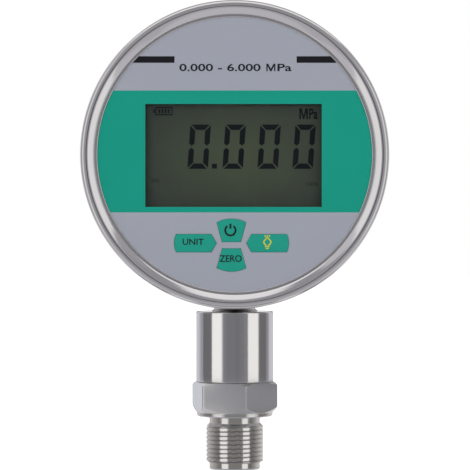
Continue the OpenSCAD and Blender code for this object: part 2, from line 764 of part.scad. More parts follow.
module switch_bodies() color("#8f9196") for (p = switch_places)
    face_at(board_v) translate([p[0], p[1], 0]) difference() {
        block(switch_w, switch_w, switch_height);
        translate([0, 0, switch_height - plunger_in - key_travel - key_gap])
            cylinder(plunger_in + key_travel + key_gap + cut, plunger_r + fit_gap, plunger_r + fit_gap);
    }

module face_panel() color("#8d9094") difference() {
    union() {
        face_at(panel_back_v) cylinder(panel_t, panel_r, panel_r);
        face_at(skirt_v) ring(panel_r, skirt_r, skirt_depth);
        face_at(board_v) at_corners(board_screw_at, board_screw_at)
            cylinder(board_gap, board_boss_r, board_boss_r);
    }
    face_at(panel_back_v - cut) translate([window_x, window_up, 0]) block(window_w, window_h, panel_t + 2 * cut);
    face_at(pane_back_v) translate([window_x, window_up, 0])
        block(pane_w + 2 * hole_gap, pane_h + 2 * hole_gap, pane_t + cut);
    key_openings(panel_back_v - cut, panel_t + 2 * cut);
    face_at(board_v - cut) at_corners(board_screw_at, board_screw_at)
        cylinder(board_screw_reach + cut + screw_slot_w, board_screw_r + fit_gap, board_screw_r + fit_gap);
}

module face_film() color("#989ca8") difference() {
    face_at(panel_front_v) cylinder(film_t, panel_r, panel_r);
    face_at(panel_front_v - cut) translate([window_x, window_up, 0]) block(window_w, window_h, film_t + 2 * cut);
    key_openings(panel_front_v - cut, film_t + 2 * cut);
}

module window_pane() color("#dfe6e4", 0.4) face_at(pane_back_v) translate([window_x, window_up, 0])
    block(pane_w, pane_h, pane_t);

module lcd_front_glass() color("#3c4239", 0.6) face_at(rear_glass_v + glass_t)
    translate([window_x, window_up - glass_ledge / 2, 0]) block(glass_w, glass_h - glass_ledge, glass_t);

module lcd_rear_glass() color("#474e43", 0.8) face_at(rear_glass_v)
    translate([window_x, window_up, 0]) block(glass_w, glass_h, glass_t);

module pin_places() for (k = [0 : pin_count - 1])
    translate([window_x + (k - (pin_count - 1) / 2) * pin_pitch, pin_top_up, 0]) children();

module lcd_pins() color("#c9cacd") face_at(0) pin_places() {
    translate([-pin_w / 2, 0, board_back_v - pin_tail])
        cube([pin_w, pin_t, rear_glass_v + glass_t + pin_t - board_back_v + pin_tail]);
    translate([-pin_w / 2, -glass_ledge / 2, rear_glass_v + glass_t]) cube([pin_w, glass_ledge / 2 + pin_t, pin_t]);
}

module lcd_frame() color("#ececea") face_at(board_v) translate([window_x, window_up, 0]) difference() {
    block(glass_w, glass_h, rear_glass_v - board_v);
    translate([0, 0, rear_glass_v - board_v - guide_t]) block(guide_w, guide_h, guide_t + cut);
}

module lcd_backlight() color("#f4f5ee", 0.8) face_at(rear_glass_v - guide_t) translate([window_x, window_up, 0])
    block(guide_w - 2 * led_w, guide_h, guide_t);

module backlight_leds() color("#f2e6a0") face_at(rear_glass_v - guide_t) translate([window_x, window_up, 0])
    at_corners((guide_w - led_w) / 2, guide_h * led_at_share) block(led_w, led_h, guide_t / 2);

module main_board() color("#17613f") difference() {
    face_at(board_back_v) cylinder(board_t, board_r, board_r);
    face_at(board_back_v - cut) {
        at_corners(board_screw_at, board_screw_at)
            cylinder(board_t + 2 * cut, board_screw_r + hole_gap, board_screw_r + hole_gap);
        pin_places() translate([0, pin_t / 2, 0]) cylinder(board_t + 2 * cut, pin_w, pin_w);
    }
}

module board_screws() color("#c5c6c9") face_at(board_back_v)
    at_corners(board_screw_at, board_screw_at) mirror([0, 0, 1])
        pan_screw(screw_head_r, screw_head_t, screw_slot_w, board_screw_r, board_t + board_screw_reach);

// A part on the board's back, of a given size and place
module on_board(x, up, w, h, t) face_at(board_back_v - t) translate([x, up, 0]) block(w, h, t);

chip_w = 10;
chip_t = 1.4;
module processor_chip() color("#1b1b1e") on_board(-chip_w, 0, chip_w, chip_w, chip_t);
module converter_chip() color("#202023") on_board(chip_w, -chip_w, chip_w * 0.6, chip_w, chip_t);
module voltage_regulator() color("#242427") on_board(-2 * chip_w, 1.3 * chip_w, chip_w * 0.65, chip_w * 0.35, chip_t);

crystal_r = 1.5;
crystal_length = 8;
module crystal_can() color("#cfd0d2") face_at(board_back_v - crystal_r)
    translate([-chip_w * 2, 0, 0]) rotate([90, 0, 0]) cylinder(crystal_length, crystal_r, crystal_r);

small_w = 2;
small_h = 1.2;
small_t = 0.8;
small_pitch = 3.2;
capacitor_count = 6;
resistor_count = 8;
module board_capacitors() color("#b08a5a") for (k = [0 : capacitor_count - 1])
    on_board(-chip_w * 1.5 + k * small_pitch, chip_w, small_w, small_h, small_t);
module board_resistors() color("#26262a") for (k = [0 : resistor_count - 1])
    on_board(chip_w * 1.6, -chip_w * 1.5 + k * small_pitch, small_w, small_h, small_t / 2);

process_connector();
sensor_oring();
sensor_capsule();
sensor_retainer();
sensor_pins();
sensor_board();
stem_barrel();
neck_gasket();
neck_washer();
neck_nut();
sensor_lead();
sensor_plug();
sensor_socket();
case_body();
case_gasket();
bezel_ring();
clinch_nuts();
battery_tray();
battery_cells();
battery_contacts();
battery_springs();
battery_lead_positive();
battery_lead_negative();
battery_plug();
battery_socket();
door_gasket();
battery_door();
door_screws();
face_panel();
face_film();
window_pane();
key_power();
key_zero();
key_unit();
key_light();
plunger_power();
plunger_zero();
plunger_unit();
plunger_light();
switch_bodies();
board_screws();
main_board();
lcd_front_glass();
lcd_rear_glass();
lcd_pins();
lcd_frame();
lcd_backlight();
backlight_leds();
processor_chip();
converter_chip();
voltage_regulator();
crystal_can();
board_capacitors();
board_resistors();
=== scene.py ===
# %% [markdown]
# # A digital pressure gauge
# The real thing is a drawn steel housing on a turned steel stem. Its construction comes in as a
# finished frame of parts at their real size. This lesson dresses that frame: it keeps the parts whose
# shape is already right, and draws the ones that catch the eye again, as smooth surfaces.

# %% Load the frame of parts
from math import radians

import bmesh
import bpy
import numpy as np
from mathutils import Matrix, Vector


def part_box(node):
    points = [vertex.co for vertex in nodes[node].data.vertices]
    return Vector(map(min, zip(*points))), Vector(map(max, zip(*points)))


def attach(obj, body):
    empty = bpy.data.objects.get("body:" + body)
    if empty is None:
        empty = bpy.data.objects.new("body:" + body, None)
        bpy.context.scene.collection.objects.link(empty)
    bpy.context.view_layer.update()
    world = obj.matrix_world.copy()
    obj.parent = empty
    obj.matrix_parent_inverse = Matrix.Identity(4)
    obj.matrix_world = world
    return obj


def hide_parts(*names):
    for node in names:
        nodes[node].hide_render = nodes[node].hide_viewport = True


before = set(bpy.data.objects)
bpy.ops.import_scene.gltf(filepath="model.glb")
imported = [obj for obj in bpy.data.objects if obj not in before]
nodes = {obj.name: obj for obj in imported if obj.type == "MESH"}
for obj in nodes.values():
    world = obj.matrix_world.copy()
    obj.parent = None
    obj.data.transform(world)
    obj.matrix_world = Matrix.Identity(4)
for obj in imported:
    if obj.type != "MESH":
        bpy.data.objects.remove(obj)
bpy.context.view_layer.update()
MM = 0.001

# %% [markdown]
# Every new piece has to sit on the parts that carry it, so its places are read from the frame. The
# display faces -Y, so a place on the face is given as a distance to the right, a distance up from the
# middle of the face, and a distance in front of the stem's axis.

# %% Levels that the frame gives
def box_mm(name):
    """The lowest and highest corner of a part, in millimetres."""
    low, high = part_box(name)
    return np.array(low) / MM, np.array(high) / MM


ring_low, ring_high = box_mm("bezel_ring")
case_low, case_high = box_mm("case_body")
door_low, door_high = box_mm("battery_door")
barrel_low, barrel_high = box_mm("stem_barrel")
connector_low, connector_high = box_mm("process_connector")
film_front = -box_mm("face_film")[0][1]
glass_front = -box_mm("lcd_front_glass")[0][1]
key_front = -box_mm("key_power")[0][1]
ring_radius = (ring_high[0] - ring_low[0]) / 2
ring_front, ring_back = -ring_low[1], -ring_high[1]
face_z = (ring_high[2] + ring_low[2]) / 2
spigot_rise = 7.0
hex_top = connector_high[2] - spigot_rise
collar_top = 1.5
print("face middle", round(face_z, 2), "film", round(film_front, 2), "crest", round(ring_front, 2))

# %% [markdown]
# ## Surfaces from arrays
# A shape is worked out as a whole grid of points, then joined up by one rule: each point is a corner of
# the square between it, the next point in its row, and the row above. Closing a row or the whole grid
# only makes that count start again. Doubled points are merged, so seams and poles are closed.

# %% Grids and meshes
def squares(rows, columns, close_rows=True, close_columns=True):
    """Corner numbers of every square of a grid: (row, column), then one step along each direction."""
    r, c = np.meshgrid(np.arange(rows - (not close_rows)), np.arange(columns - (not close_columns)),
                       indexing="ij")
    r_next, c_next = (r + 1) % rows, (c + 1) % columns
    corners = [r * columns + c, r * columns + c_next, r_next * columns + c_next, r_next * columns + c]
    return np.stack(corners, -1).reshape(-1, 4)


def stacked(rows, count, start=0):
    """Faces of outlines laid one on the other: the squares between them, and a polygon on each end."""
    ends = np.arange(rows * count).reshape(rows, count)[[0, -1]]
    faces = squares(rows, count, close_rows=False).tolist() + ends.tolist()
    return [[start + corner for corner in face] for face in faces]


def mesh_of(name, points, faces):
    """A mesh from points in millimetres."""
    mesh = bpy.data.meshes.new(name)
    mesh.from_pydata((points.reshape(-1, 3) * MM).tolist(), [], faces)
    return mesh


def in_scene(name, data):
    """A new object at the origin that holds the data."""
    item = bpy.data.objects.new(name, data)
    bpy.context.scene.collection.objects.link(item)
    return item


def as_shown(piece):
    """The mesh of a piece as it shows, with its modifiers or its letters worked out."""
    bpy.context.view_layer.update()
    return bpy.data.meshes.new_from_object(piece.evaluated_get(bpy.context.evaluated_depsgraph_get()))


def make_piece(name, points, faces, crease=35):
    """A closed piece from points in millimetres; edges that turn more than crease degrees stay sharp."""
    mesh = mesh_of(name, points, faces)
    form = bmesh.new()
    form.from_mesh(mesh)
    bmesh.ops.remove_doubles(form, verts=form.verts, dist=0.0005 * MM)
    bmesh.ops.recalc_face_normals(form, faces=form.faces)
    form.to_mesh(mesh)
    form.free()
    mesh.shade_smooth()
    mesh.set_sharp_from_angle(angle=radians(crease))
    print(name, len(mesh.vertices), "points", len(mesh.polygons), "faces")
    return in_scene(name, mesh)


def dress(piece, material, slot, *stands_for, body="gauge"):
    """Gives a new piece its material and its body, and hides the parts that it stands for; slot is not
    used.
    """
    piece.data.materials.clear()
    piece.data.materials.append(material)
    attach(piece, body)
    if stands_for:
        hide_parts(*stands_for)
    return piece


# %% [markdown]
# ## Profiles
# Turned and drawn parts have no truly sharp corner. Each corner of a profile is replaced by a short
# curve, a quadratic one, that leaves the first edge a little before the corner and meets the second a
# little after it. These small rounds catch the light and make an edge look real. A Bevel modifier could
# add them later, but here each profile keeps its own, and a point beside each keeps the long faces flat.

# %% Round the corners of a profile
def eased(profile, cut, steps=4, ends=True):
    """Corner p between a and b becomes (1-t)^2 a + 2t(1-t) p + t^2 b, with a and b at most cut away.

    A point is kept beyond each side of the round, so that the long faces stay flat in their shading.
    Without ends, the first and the last corner only guide their neighbours and are left out.
    """
    p = np.asarray(profile, float)
    back, ahead = np.roll(p, 1, 0) - p, np.roll(p, -1, 0) - p
    back_len = np.maximum(np.linalg.norm(back, axis=-1, keepdims=True), 1e-9)
    ahead_len = np.maximum(np.linalg.norm(ahead, axis=-1, keepdims=True), 1e-9)
    reach = np.minimum(cut, 0.45 * np.minimum(back_len, ahead_len))
    a, b = p + back * reach / back_len, p + ahead * reach / ahead_len
    before = p + back * np.minimum(2 * cut / back_len, 0.5)
    after = p + ahead * np.minimum(2 * cut / ahead_len, 0.5)
    curve = [(1 - t) ** 2 * a + 2 * t * (1 - t) * p + t ** 2 * b for t in np.linspace(0, 1, steps)]
    every = np.stack([before, *curve, after], 1)
    every = every if ends else every[1:-1]
    return every.reshape(-1, *p.shape[1:])


def arc(centre, radius, start, end, steps):
    """Points on a circle between two angles in degrees."""
    angle = np.radians(np.linspace(start, end, steps))
    return np.stack([centre[0] + radius * np.cos(angle), centre[1] + radius * np.sin(angle)], -1)


def unit(vectors):
    """Vectors of the same direction and of length one."""
    return vectors / np.linalg.norm(vectors, axis=-1, keepdims=True)


def around_stem(radius, height, angle):
    """A point at that radius and height, turned by angle about the stem's axis."""
    return np.stack(np.broadcast_arrays(radius * np.cos(angle), radius * np.sin(angle), height), -1)


def around_face(radius, front, angle):
    """A point at that radius, that far in front of the stem, turned by angle about the face's middle."""
    up = face_z + radius * np.sin(angle)
    return np.stack(np.broadcast_arrays(radius * np.cos(angle), -front, up), -1)


def on_face(flat, front):
    """Points (right, up) of the face, laid that far in front of the stem's axis."""
    return np.stack([flat[:, 0], np.full(len(flat), -front), flat[:, 1] + face_z], -1)


def turned(name, profile, place, around=256, crease=35):
    """A closed profile of (radius, level) swept once round its axis."""
    profile = np.asarray(profile, float)
    angle = np.linspace(0, 2 * np.pi, around, endpoint=False)
    points = place(profile[:, :1], profile[:, 1:], angle[None, :])
    return make_piece(name, points, squares(len(profile), around).tolist(), crease)


# %% [markdown]
# ## Materials
# A small helper adds one shader node with its settings and links. Colours are written as on a paint
# chart, in sRGB hex, and turned to the linear values that light adds up in.

# %% Colour and node helpers
def paint(code, share=1.0):
    """The linear colour of an sRGB hex code, times a share."""
    value = np.array([int(code[i:i + 2], 16) for i in (1, 3, 5)]) / 255
    linear = np.where(value <= 0.04045, value / 12.92, ((value + 0.055) / 1.055) ** 2.4)
    return (*np.minimum(linear * share, 1).tolist(), 1.0)


def add(tree, kind, inputs=(), **settings):
    """Adds one shader node; an input that is given a node or a socket is linked, and any other is set."""
    node = tree.nodes.new("ShaderNode" + kind)
    for name, value in settings.items():
        setattr(node, name, value)
    for name, value in dict(inputs).items():
        if isinstance(value, bpy.types.Node):
            value = value.outputs[0]
        if isinstance(value, bpy.types.NodeSocket):
            tree.links.new(value, node.inputs[name])
        else:
            node.inputs[name].default_value = value
    return node


def new_material(name):
    """An empty material, its node tree, and the Object coordinates of its piece."""
    material = bpy.data.materials.new(name)
    material.use_nodes = True
    tree = material.node_tree
    tree.nodes.clear()
    return material, tree, add(tree, "TexCoord").outputs["Object"]


def grain(tree, place, per_metre, detail=2.0):
    """A noise with so many cells to the metre: one number, or one each along X, Y and Z."""
    cells = np.broadcast_to(per_metre, 3).tolist()
    stretched = add(tree, "VectorMath", {0: place, 1: cells}, operation="MULTIPLY")
    return add(tree, "TexNoise", {"Vector": stretched, "Scale": 1.0, "Detail": detail, "Roughness": 0.6})


def between(tree, value, low, high):
    """Spreads a 0 to 1 value from low to high."""
    return add(tree, "MapRange", {"Value": value, "To Min": low, "To Max": high})


def within(tree, value, low, high):
    """1 where a value lies between two levels given in millimetres, and 0 elsewhere."""
    middle, half = (low + high) / 2 * MM, (high - low) / 2 * MM
    return add(tree, "Math", {0: value, 1: middle, 2: half}, operation="COMPARE")


def tinted(tree, value, dark, light):
    """Mixes two colours, or two colour sockets, by a 0 to 1 value."""
    return add(tree, "Mix", {"Factor": value, 6: dark, 7: light}, data_type="RGBA").outputs[2]


# %% [markdown]
# ### Moulded and printed plastics
# Most of the small parts are mouldings. What gives a moulding away is a fine, even grain left by the
# tool and a soft, even shine. One recipe makes them all: two near colours that drift into each other, a
# grain of the given size, and a roughness that varies a little.

# %% Moulded finishes
def moulded(name, code, roughness, grain_mm=0.6, relief_mm=0.01, drift=0.06, metallic=0.0, shine=0.5):
    """A plastic or plain metal with a fine grain of the given size; the IOR stays at its default, 1.5."""
    material, tree, place = new_material(name)
    fine = grain(tree, place, 1 / (grain_mm * MM), detail=3.0)
    broad = grain(tree, place, 90.0, detail=1.0)
    skin = add(tree, "BsdfPrincipled", {
        "Base Color": tinted(tree, broad, paint(code, 1 - drift), paint(code, 1 + drift)),
        "Roughness": between(tree, fine, roughness * 0.9, roughness * 1.1),
        "Metallic": metallic,
        "Specular IOR Level": shine,
        "Normal": add(tree, "Bump", {"Height": fine, "Strength": 0.5, "Distance": relief_mm * MM}),
    })
    add(tree, "OutputMaterial", {"Surface": skin})
    return material


# EPDM rubber, moulded: near black, dull, with a fine bloom.
epdm_rubber = moulded("epdm_rubber", "#1c1c1e", 0.62, grain_mm=0.4)
# ABS, moulded black: a dark, half-matt inside part.
abs_black = moulded("abs_black", "#1f2023", 0.5, relief_mm=0.02)
# Nylon, moulded natural: slightly warm white, a little waxy.
nylon_white = moulded("nylon_natural", "#e8e4d9", 0.42)
# Glass-fibre board under a green solder mask: glossy, the weave just shows.
board_mask = moulded("fr4_solder_mask", "#1b5c3c", 0.3, grain_mm=0.8, relief_mm=0.02)
# Epoxy moulding compound of chips: dark grey and dull.
chip_epoxy = moulded("chip_epoxy", "#26272a", 0.55, grain_mm=0.2)
# Glazed ceramic of the small capacitors.
ceramic_tan = moulded("capacitor_ceramic", "#a88a62", 0.35, grain_mm=0.3)
# PVC insulation of the leads: smooth and flexible, soft shine.
pvc_red = moulded("pvc_red", "#b02e28", 0.38)
pvc_black = moulded("pvc_black", "#1b1b1d", 0.38)
pvc_grey = moulded("pvc_grey", "#4a4b4f", 0.4)
# Printed sleeve shrunk on each battery.
battery_sleeve = moulded("battery_sleeve", "#3d4349", 0.28, relief_mm=0.004)
# PMMA light guide behind the glass: bright and milky from its printed dots.
light_guide = moulded("pmma_light_guide", "#e9ebe2", 0.2)
# PBT switch bodies.
pbt_grey = moulded("pbt_grey", "#8b8e93", 0.45)
# Nickel plate on small steel parts: pale, slightly warm metal with a soft shine.
nickel_plate = moulded("nickel_plate", "#c6c4be", 0.27, grain_mm=0.25, relief_mm=0.003, metallic=1.0)
# Gold plate on the cell's pins.
gold_plate = moulded("gold_plate", "#d9b25f", 0.25, grain_mm=0.3, relief_mm=0.002, metallic=1.0)

# %% [markdown]
# ### Turned and drawn stainless steel
# The stem is turned on a lathe, which leaves fine rings round its axis. The rings are far finer than a
# picture shows, so they are drawn as coarse as they need to be, about a quarter of a millimetre apart.
# The noise is squeezed along the axis and stretched round it. It tips the surface and shifts its colour
# by a hair, which draws reflections out along the stem.

# %% Steel finishes
STEEL = "#cbcac8"


def steel(name, roughness, lines, relief_mm, duller=None):
    """Stainless steel; lines gives the value of the lines at each point, from 0 to 1.

    With duller as (low, high, more), its roughness is that much more between those two heights.
    """
    material, tree, place = new_material(name)
    streak = lines(tree, place)
    rough = between(tree, grain(tree, place, 60.0), roughness * 0.85, roughness * 1.15)
    if duller:
        inside = within(tree, add(tree, "SeparateXYZ", {0: place}).outputs[2], *duller[:2])
        rough = add(tree, "Math", {0: inside, 1: duller[2], 2: rough}, operation="MULTIPLY_ADD")
    skin = add(tree, "BsdfPrincipled", {
        "Base Color": tinted(tree, streak, paint(STEEL, 0.95), paint(STEEL)),
        "Roughness": rough,
        "Metallic": 1.0,
        "Normal": add(tree, "Bump", {"Height": streak, "Strength": 1.0, "Distance": relief_mm * MM}),
    })
    add(tree, "OutputMaterial", {"Surface": skin})
    return material


def rings_round_stem(tree, place):
    """Lines at constant height: noise cells 0.25 mm high and some 20 mm long."""
    return grain(tree, place, (50.0, 50.0, 4000.0))


def rings_round_face(tree, place):
    """Lines at constant radius from the face's middle, 0.3 mm apart."""
    centred = add(tree, "VectorMath", {0: place, 1: (0.0, 0.0, face_z * MM)}, operation="SUBTRACT")
    flat = add(tree, "VectorMath", {0: centred, 1: (1.0, 0.0, 1.0)}, operation="MULTIPLY")
    radius = add(tree, "VectorMath", {0: flat}, operation="LENGTH").outputs["Value"]
    x, y, z = add(tree, "SeparateXYZ", {0: centred}).outputs
    return grain(tree, add(tree, "CombineXYZ", {0: radius, 1: x, 2: z}), (3300.0, 12.0, 12.0))


def satin_all_ways(tree, place):
    """The even, directionless dulling of blasted or etched sheet, 0.3 mm grain."""
    return grain(tree, place, 3300.0)


# Stainless bar, turned: clear reflections, drawn out along the axis by the tool's rings.
turned_steel = steel("stainless_turned", 0.13, rings_round_stem, 0.0012)
# Stainless bar, cut thread and collar with clear reflections; the milled flats above them are duller.
milled_steel = steel("stainless_milled", 0.14, rings_round_stem, 0.002, duller=(collar_top, hex_top, 0.08))
# Stainless sheet, spun and polished: the ring round the face, nearly a mirror.
polished_steel = steel("stainless_polished", 0.11, rings_round_face, 0.0006)
# Stainless sheet, drawn and blasted: the housing and its door.
satin_steel = steel("stainless_satin", 0.34, satin_all_ways, 0.004)

# %% [markdown]
# ## The ring round the face
# The ring is one spun piece of sheet. From the middle outwards it has a thin lip that lies on the film,
# a narrow groove, a broad band that slopes down towards the display, a flat crest, a round shoulder and
# a straight wall that is hemmed behind the housing's flange. A bevelled tube would give one even round,
# so its section is drawn once instead, and turned: that way the band and the groove get their own widths.

# %% Ring
sheet = 0.8
shoulder_r = 1.55
shoulder_at = (ring_radius - shoulder_r, ring_front - shoulder_r)
hem_r = ring_radius - sheet
hem_inner_r = case_high[0] - 1.55
flange_back = ring_back + 3.0
lip_section = np.array([
    (46.65, -1.0), (46.65, 0.0), (46.65, 0.35), (46.8, 0.47), (47.2, 0.51), (47.35, 0.38), (47.5, 0.8),
    (47.65, 1.2), (48.05, 1.5), (48.65, 1.82), (49.25, 2.135), (49.85, 2.42), (50.15, 2.48), (50.45, 2.5),
    (ring_radius - shoulder_r, 2.5),
]) + (0, film_front)
back_section = [
    (hem_r - 0.02, ring_back), (hem_inner_r, ring_back), (hem_inner_r, flange_back), (hem_r, flange_back),
    (hem_r, shoulder_at[1]),
]
under_section = np.array([(49.4, 1.45), (48.4, 0.95), (48.05, 0.6), (47.9, 0.0)]) + (0, film_front)
ring_profile = np.concatenate([
    eased(lip_section, 0.12, ends=False), arc(shoulder_at, shoulder_r, 90, 0, 24),
    arc((ring_radius - sheet, ring_back + sheet), sheet, 0, -90, 8), np.array(back_section),
    arc(shoulder_at, shoulder_r - sheet, 0, 90, 10), under_section,
])
ring = turned("bezel_ring_polished", ring_profile, around_face, around=384)
dress(ring, polished_steel, "ring_steel", "bezel_ring")

# %% [markdown]
# ## The housing
# Behind the ring is a deep-drawn cup with a round rear edge and a flange rolled outwards at the front.
# It is turned in the same way. The opening for the battery bay and the hole for the neck are then cut
# with two plain solids, as they would be stamped.

# %% Housing
def cut_out(piece, *tools):
    """Takes the tools' solids out of a piece, and removes the tools."""
    for tool in tools:
        change = piece.modifiers.new("cut", "BOOLEAN")
        change.object = tool
        change.operation = "DIFFERENCE"
        change.solver = "EXACT"
    done = as_shown(piece)
    piece.modifiers.clear()
    piece.data = done
    for tool in tools:
        bpy.data.objects.remove(tool)
    done.shade_smooth()
    done.set_sharp_from_angle(angle=radians(35))


case_back = -case_high[1]
case_front = -case_low[1]
cup_r = case_high[0] - 1.6
wall = 1.0
edge_r = 4.0
neck_hole_r = 6.15
case_profile = np.concatenate([
    [(0, case_back)], arc((cup_r - edge_r, case_back + edge_r), edge_r, -90, 0, 16),
    eased([(cup_r, 0), (cup_r, case_front - wall), (case_high[0], case_front - wall),
           (case_high[0], case_front), (cup_r - wall, case_front), (cup_r - wall, 0)], 0.3, ends=False),
    arc((cup_r - edge_r, case_back + edge_r), edge_r - wall, 0, -90, 12), [(0, case_back + wall)],
])
case = turned("case_cup", case_profile, around_face, around=256)
bay_low, bay_high = box_mm("battery_contacts")
left, _, low = bay_low - (2, 0, face_z + 4)
right, _, high = bay_high + (2, 0, 4 - face_z)
bay = np.array([(left, low), (right, low), (right, high), (left, high)])
bay_layers = np.array([on_face(bay, case_back + off) for off in (-3, 3)])
opening = make_piece("bay_cutter", bay_layers, stacked(2, len(bay)))
hole_low, hole_high = face_z - cup_r - 3, face_z - cup_r + 5
neck_hole = turned("neck_cutter", [(0, hole_low), (neck_hole_r, hole_low), (neck_hole_r, hole_high),
                                   (0, hole_high)], around_stem, 64)
cut_out(case, opening, neck_hole)
dress(case, satin_steel, "case_steel", "case_body")

# %% [markdown]
# ## The barrel
# The barrel is one turned piece: a plain sleeve with a light chamfer at each end, a low boss on top and
# the neck that goes into the housing. A lathe makes it, and so does a turned section here. The barrel is
# hollow, so the section runs back down the bore.

# %% Barrel
barrel_r = barrel_high[0]
barrel_height = 24.7
barrel_top = barrel_low[2] + barrel_height
bore_top = barrel_top - 4.0
bore_r = barrel_r - 2.0
boss_r = 7.1
boss_top = barrel_top + 2.0
neck_r = 6.0
neck_bore_r = 3.0
barrel_section = [
    (bore_r, barrel_low[2]), (barrel_r - 0.25, barrel_low[2]), (barrel_r, barrel_low[2] + 0.25),
    (barrel_r, barrel_top - 0.35), (barrel_r - 0.35, barrel_top), (8.2, barrel_top),
    (7.4, barrel_top + 0.6), (boss_r, barrel_top + 1.0), (boss_r, boss_top), (neck_r, boss_top),
    (neck_r, barrel_high[2]), (neck_bore_r, barrel_high[2]), (neck_bore_r, bore_top), (bore_r, bore_top),
]
barrel = turned("stem_barrel_turned", eased(barrel_section, 0.1), around_stem, around=384, crease=50)
dress(barrel, turned_steel, "stem_steel", "stem_barrel")

# %% [markdown]
# ## The connector
# The hexagon, the collar and the male thread are one piece of bar. Round the axis its radius is the
# hexagon's: the flat's distance divided by the cosine of the angle to the middle of that flat. The
# lathe's chamfer is a cone, so the height where the chamfer meets a flat rises and falls with that
# radius, which gives the curved edges of a real nut. The grid's rows follow those edges.
#
# The thread is a true helix. Its phase is the height divided by the pitch, less one turn for each turn
# about the axis, and a narrow V is cut where that phase begins. Cones at both ends cut the crests down to
# the plain pilot below and the run-out groove above.

# %% Hexagon and thread
hex_flat = 13.5
hex_turn = 16.0
corner_break = 0.12
chamfer_low_r, chamfer_top_r = hex_flat - 0.1, hex_flat + 0.4
collar_r = 13.3
relief_r = 8.88
relief_low = -2.1
thread_low, thread_high = -16.1, -2.3
thread_r, thread_depth = 10.0, 0.5
pitch, half_crest, start_slope = 1.5, 0.32, 3.0
tip = connector_low[2]
spigot_top = connector_high[2]
spigot_r, pocket_r, pocket_floor, port_r = 11.45, 9.55, 9.6, 1.75
angle = np.radians(np.arange(0, 360, 1.0))[None, :]


def hexagon_radius(turn):
    """The flat's distance over the cosine of the angle to that flat's middle, corners broken a little."""
    off = (np.degrees(turn) + hex_turn) % 60 - 30
    return np.minimum(hex_flat / np.cos(np.radians(off)), hex_flat / np.cos(np.pi / 6) - corner_break)


def thread_radius(height, turn):
    """Broad crests with a narrow V between them, by the phase of the helix, cut by a cone at each end."""
    phase = (height / pitch - turn / (2 * np.pi)) % 1.0
    groove = np.clip((np.abs(phase - 0.5) - half_crest) / (0.5 - half_crest), 0, 1)
    full = thread_r - thread_depth * groove * (1.25 - 0.25 * groove)
    start = relief_r + (height - thread_low) * start_slope
    end = relief_r + thread_high - height
    return np.maximum(np.minimum(np.minimum(full, start), end), relief_r)


def ring_rows(*corners):
    """Corners (radius, height), each a number or one value for every column, as rows of the grid."""
    return np.stack([np.stack(np.broadcast_arrays(r, z, angle[0])[:2], -1) for r, z in corners])


hex_r = hexagon_radius(angle)[0]
land_r = np.minimum(hex_r, chamfer_top_r)
upper_edge = hex_top - (hex_r - land_r) * np.tan(radians(30))
lower_edge = collar_top + hex_r - chamfer_low_r
upper_rows = eased(ring_rows(
    (pocket_r, spigot_top), (spigot_r, spigot_top), (spigot_r, hex_top), (land_r, hex_top),
    (hex_r, upper_edge), (hex_r, lower_edge), (chamfer_low_r, collar_top), (collar_r, collar_top),
    (collar_r, 0.4), (collar_r - 0.4, 0.0), (relief_r, 0.0), (relief_r, relief_low)), 0.07, ends=False)
thread_heights = np.linspace(relief_low, thread_low, 188)[:, None]
thread_rows = np.stack(np.broadcast_arrays(thread_radius(thread_heights, angle), thread_heights), -1)
tail_rows = eased(ring_rows(
    (relief_r, thread_low), (relief_r, tip + 0.7), (relief_r - 0.7, tip), (port_r, tip),
    (port_r, pocket_floor), (pocket_r, pocket_floor), (pocket_r, spigot_top)), 0.12, ends=False)
grid = np.concatenate([upper_rows, thread_rows, tail_rows, ring_rows((pocket_r, spigot_top))])
connector = make_piece("process_connector_cut", around_stem(grid[..., 0], grid[..., 1], angle),
                       squares(len(grid), 360).tolist(), crease=28)
dress(connector, milled_steel, "stem_steel", "process_connector")

# %% [markdown]
# ## The printed film
# The front film is one flat sheet of polycarbonate, printed from behind: grey, with a green band across
# the display and two black bars near the top. A printed band has a hard edge at an exact height, so the
# colours are chosen by comparing the place on the face with those heights. A picture could hold them too,
# but its edges blur up close. The surface has a fine, even texture that breaks up reflections.

# %% Film
band_low, band_high = -19.67, 21.78
bar_low, bar_high = 31.18, 33.42
gap_left, gap_right = -20.45, 21.05


def printed_film():
    """Grey polycarbonate with a green band and two black bars, chosen by height and distance."""
    material, tree, place = new_material("polycarbonate_printed")
    across, _, up = add(tree, "SeparateXYZ", {0: place}).outputs
    band = within(tree, up, face_z + band_low, face_z + band_high)
    level = within(tree, up, face_z + bar_low, face_z + bar_high)
    middle = within(tree, across, gap_left, gap_right)
    bar = add(tree, "Math", {0: level, 1: middle}, operation="SUBTRACT", use_clamp=True)
    fine = grain(tree, place, 2500.0)
    broad = grain(tree, place, 25.0, detail=1.0)
    grey = tinted(tree, broad, paint("#989ca8"), paint("#9da0ab"))
    green = tinted(tree, broad, paint("#028f7b"), paint("#04937f"))
    skin = add(tree, "BsdfPrincipled", {
        "Base Color": tinted(tree, bar, tinted(tree, band, grey, green), paint("#111116")),
        "Roughness": between(tree, fine, 0.42, 0.5),
        "Specular IOR Level": 0.17,
        "Normal": add(tree, "Bump", {"Height": fine, "Strength": 0.4, "Distance": 0.006 * MM}),
    })
    add(tree, "OutputMaterial", {"Surface": skin})
    return material


film_print = printed_film()

# %% [markdown]
# ## The keys
# Each key is a small moulding that stands a third of a millimetre out of the film. Its outline is
# convex: some straight edges and one arc. So its radius in any direction from its own middle is the
# least of the distances to those edges, and a soft least, the logarithm of a sum of exponentials, rounds
# the corners as moulding does. Insetting the outline is the same formula with every edge moved inwards.

# %% Key outlines
keys_middle = np.array((-1.1, -30.8))


def side_line(a, b):
    """The edge from a to b as its outward normal and distance, for corners listed anticlockwise."""
    d = b - a
    n = unit(np.array([d[1], -d[0]]))
    return (*n, n @ a)


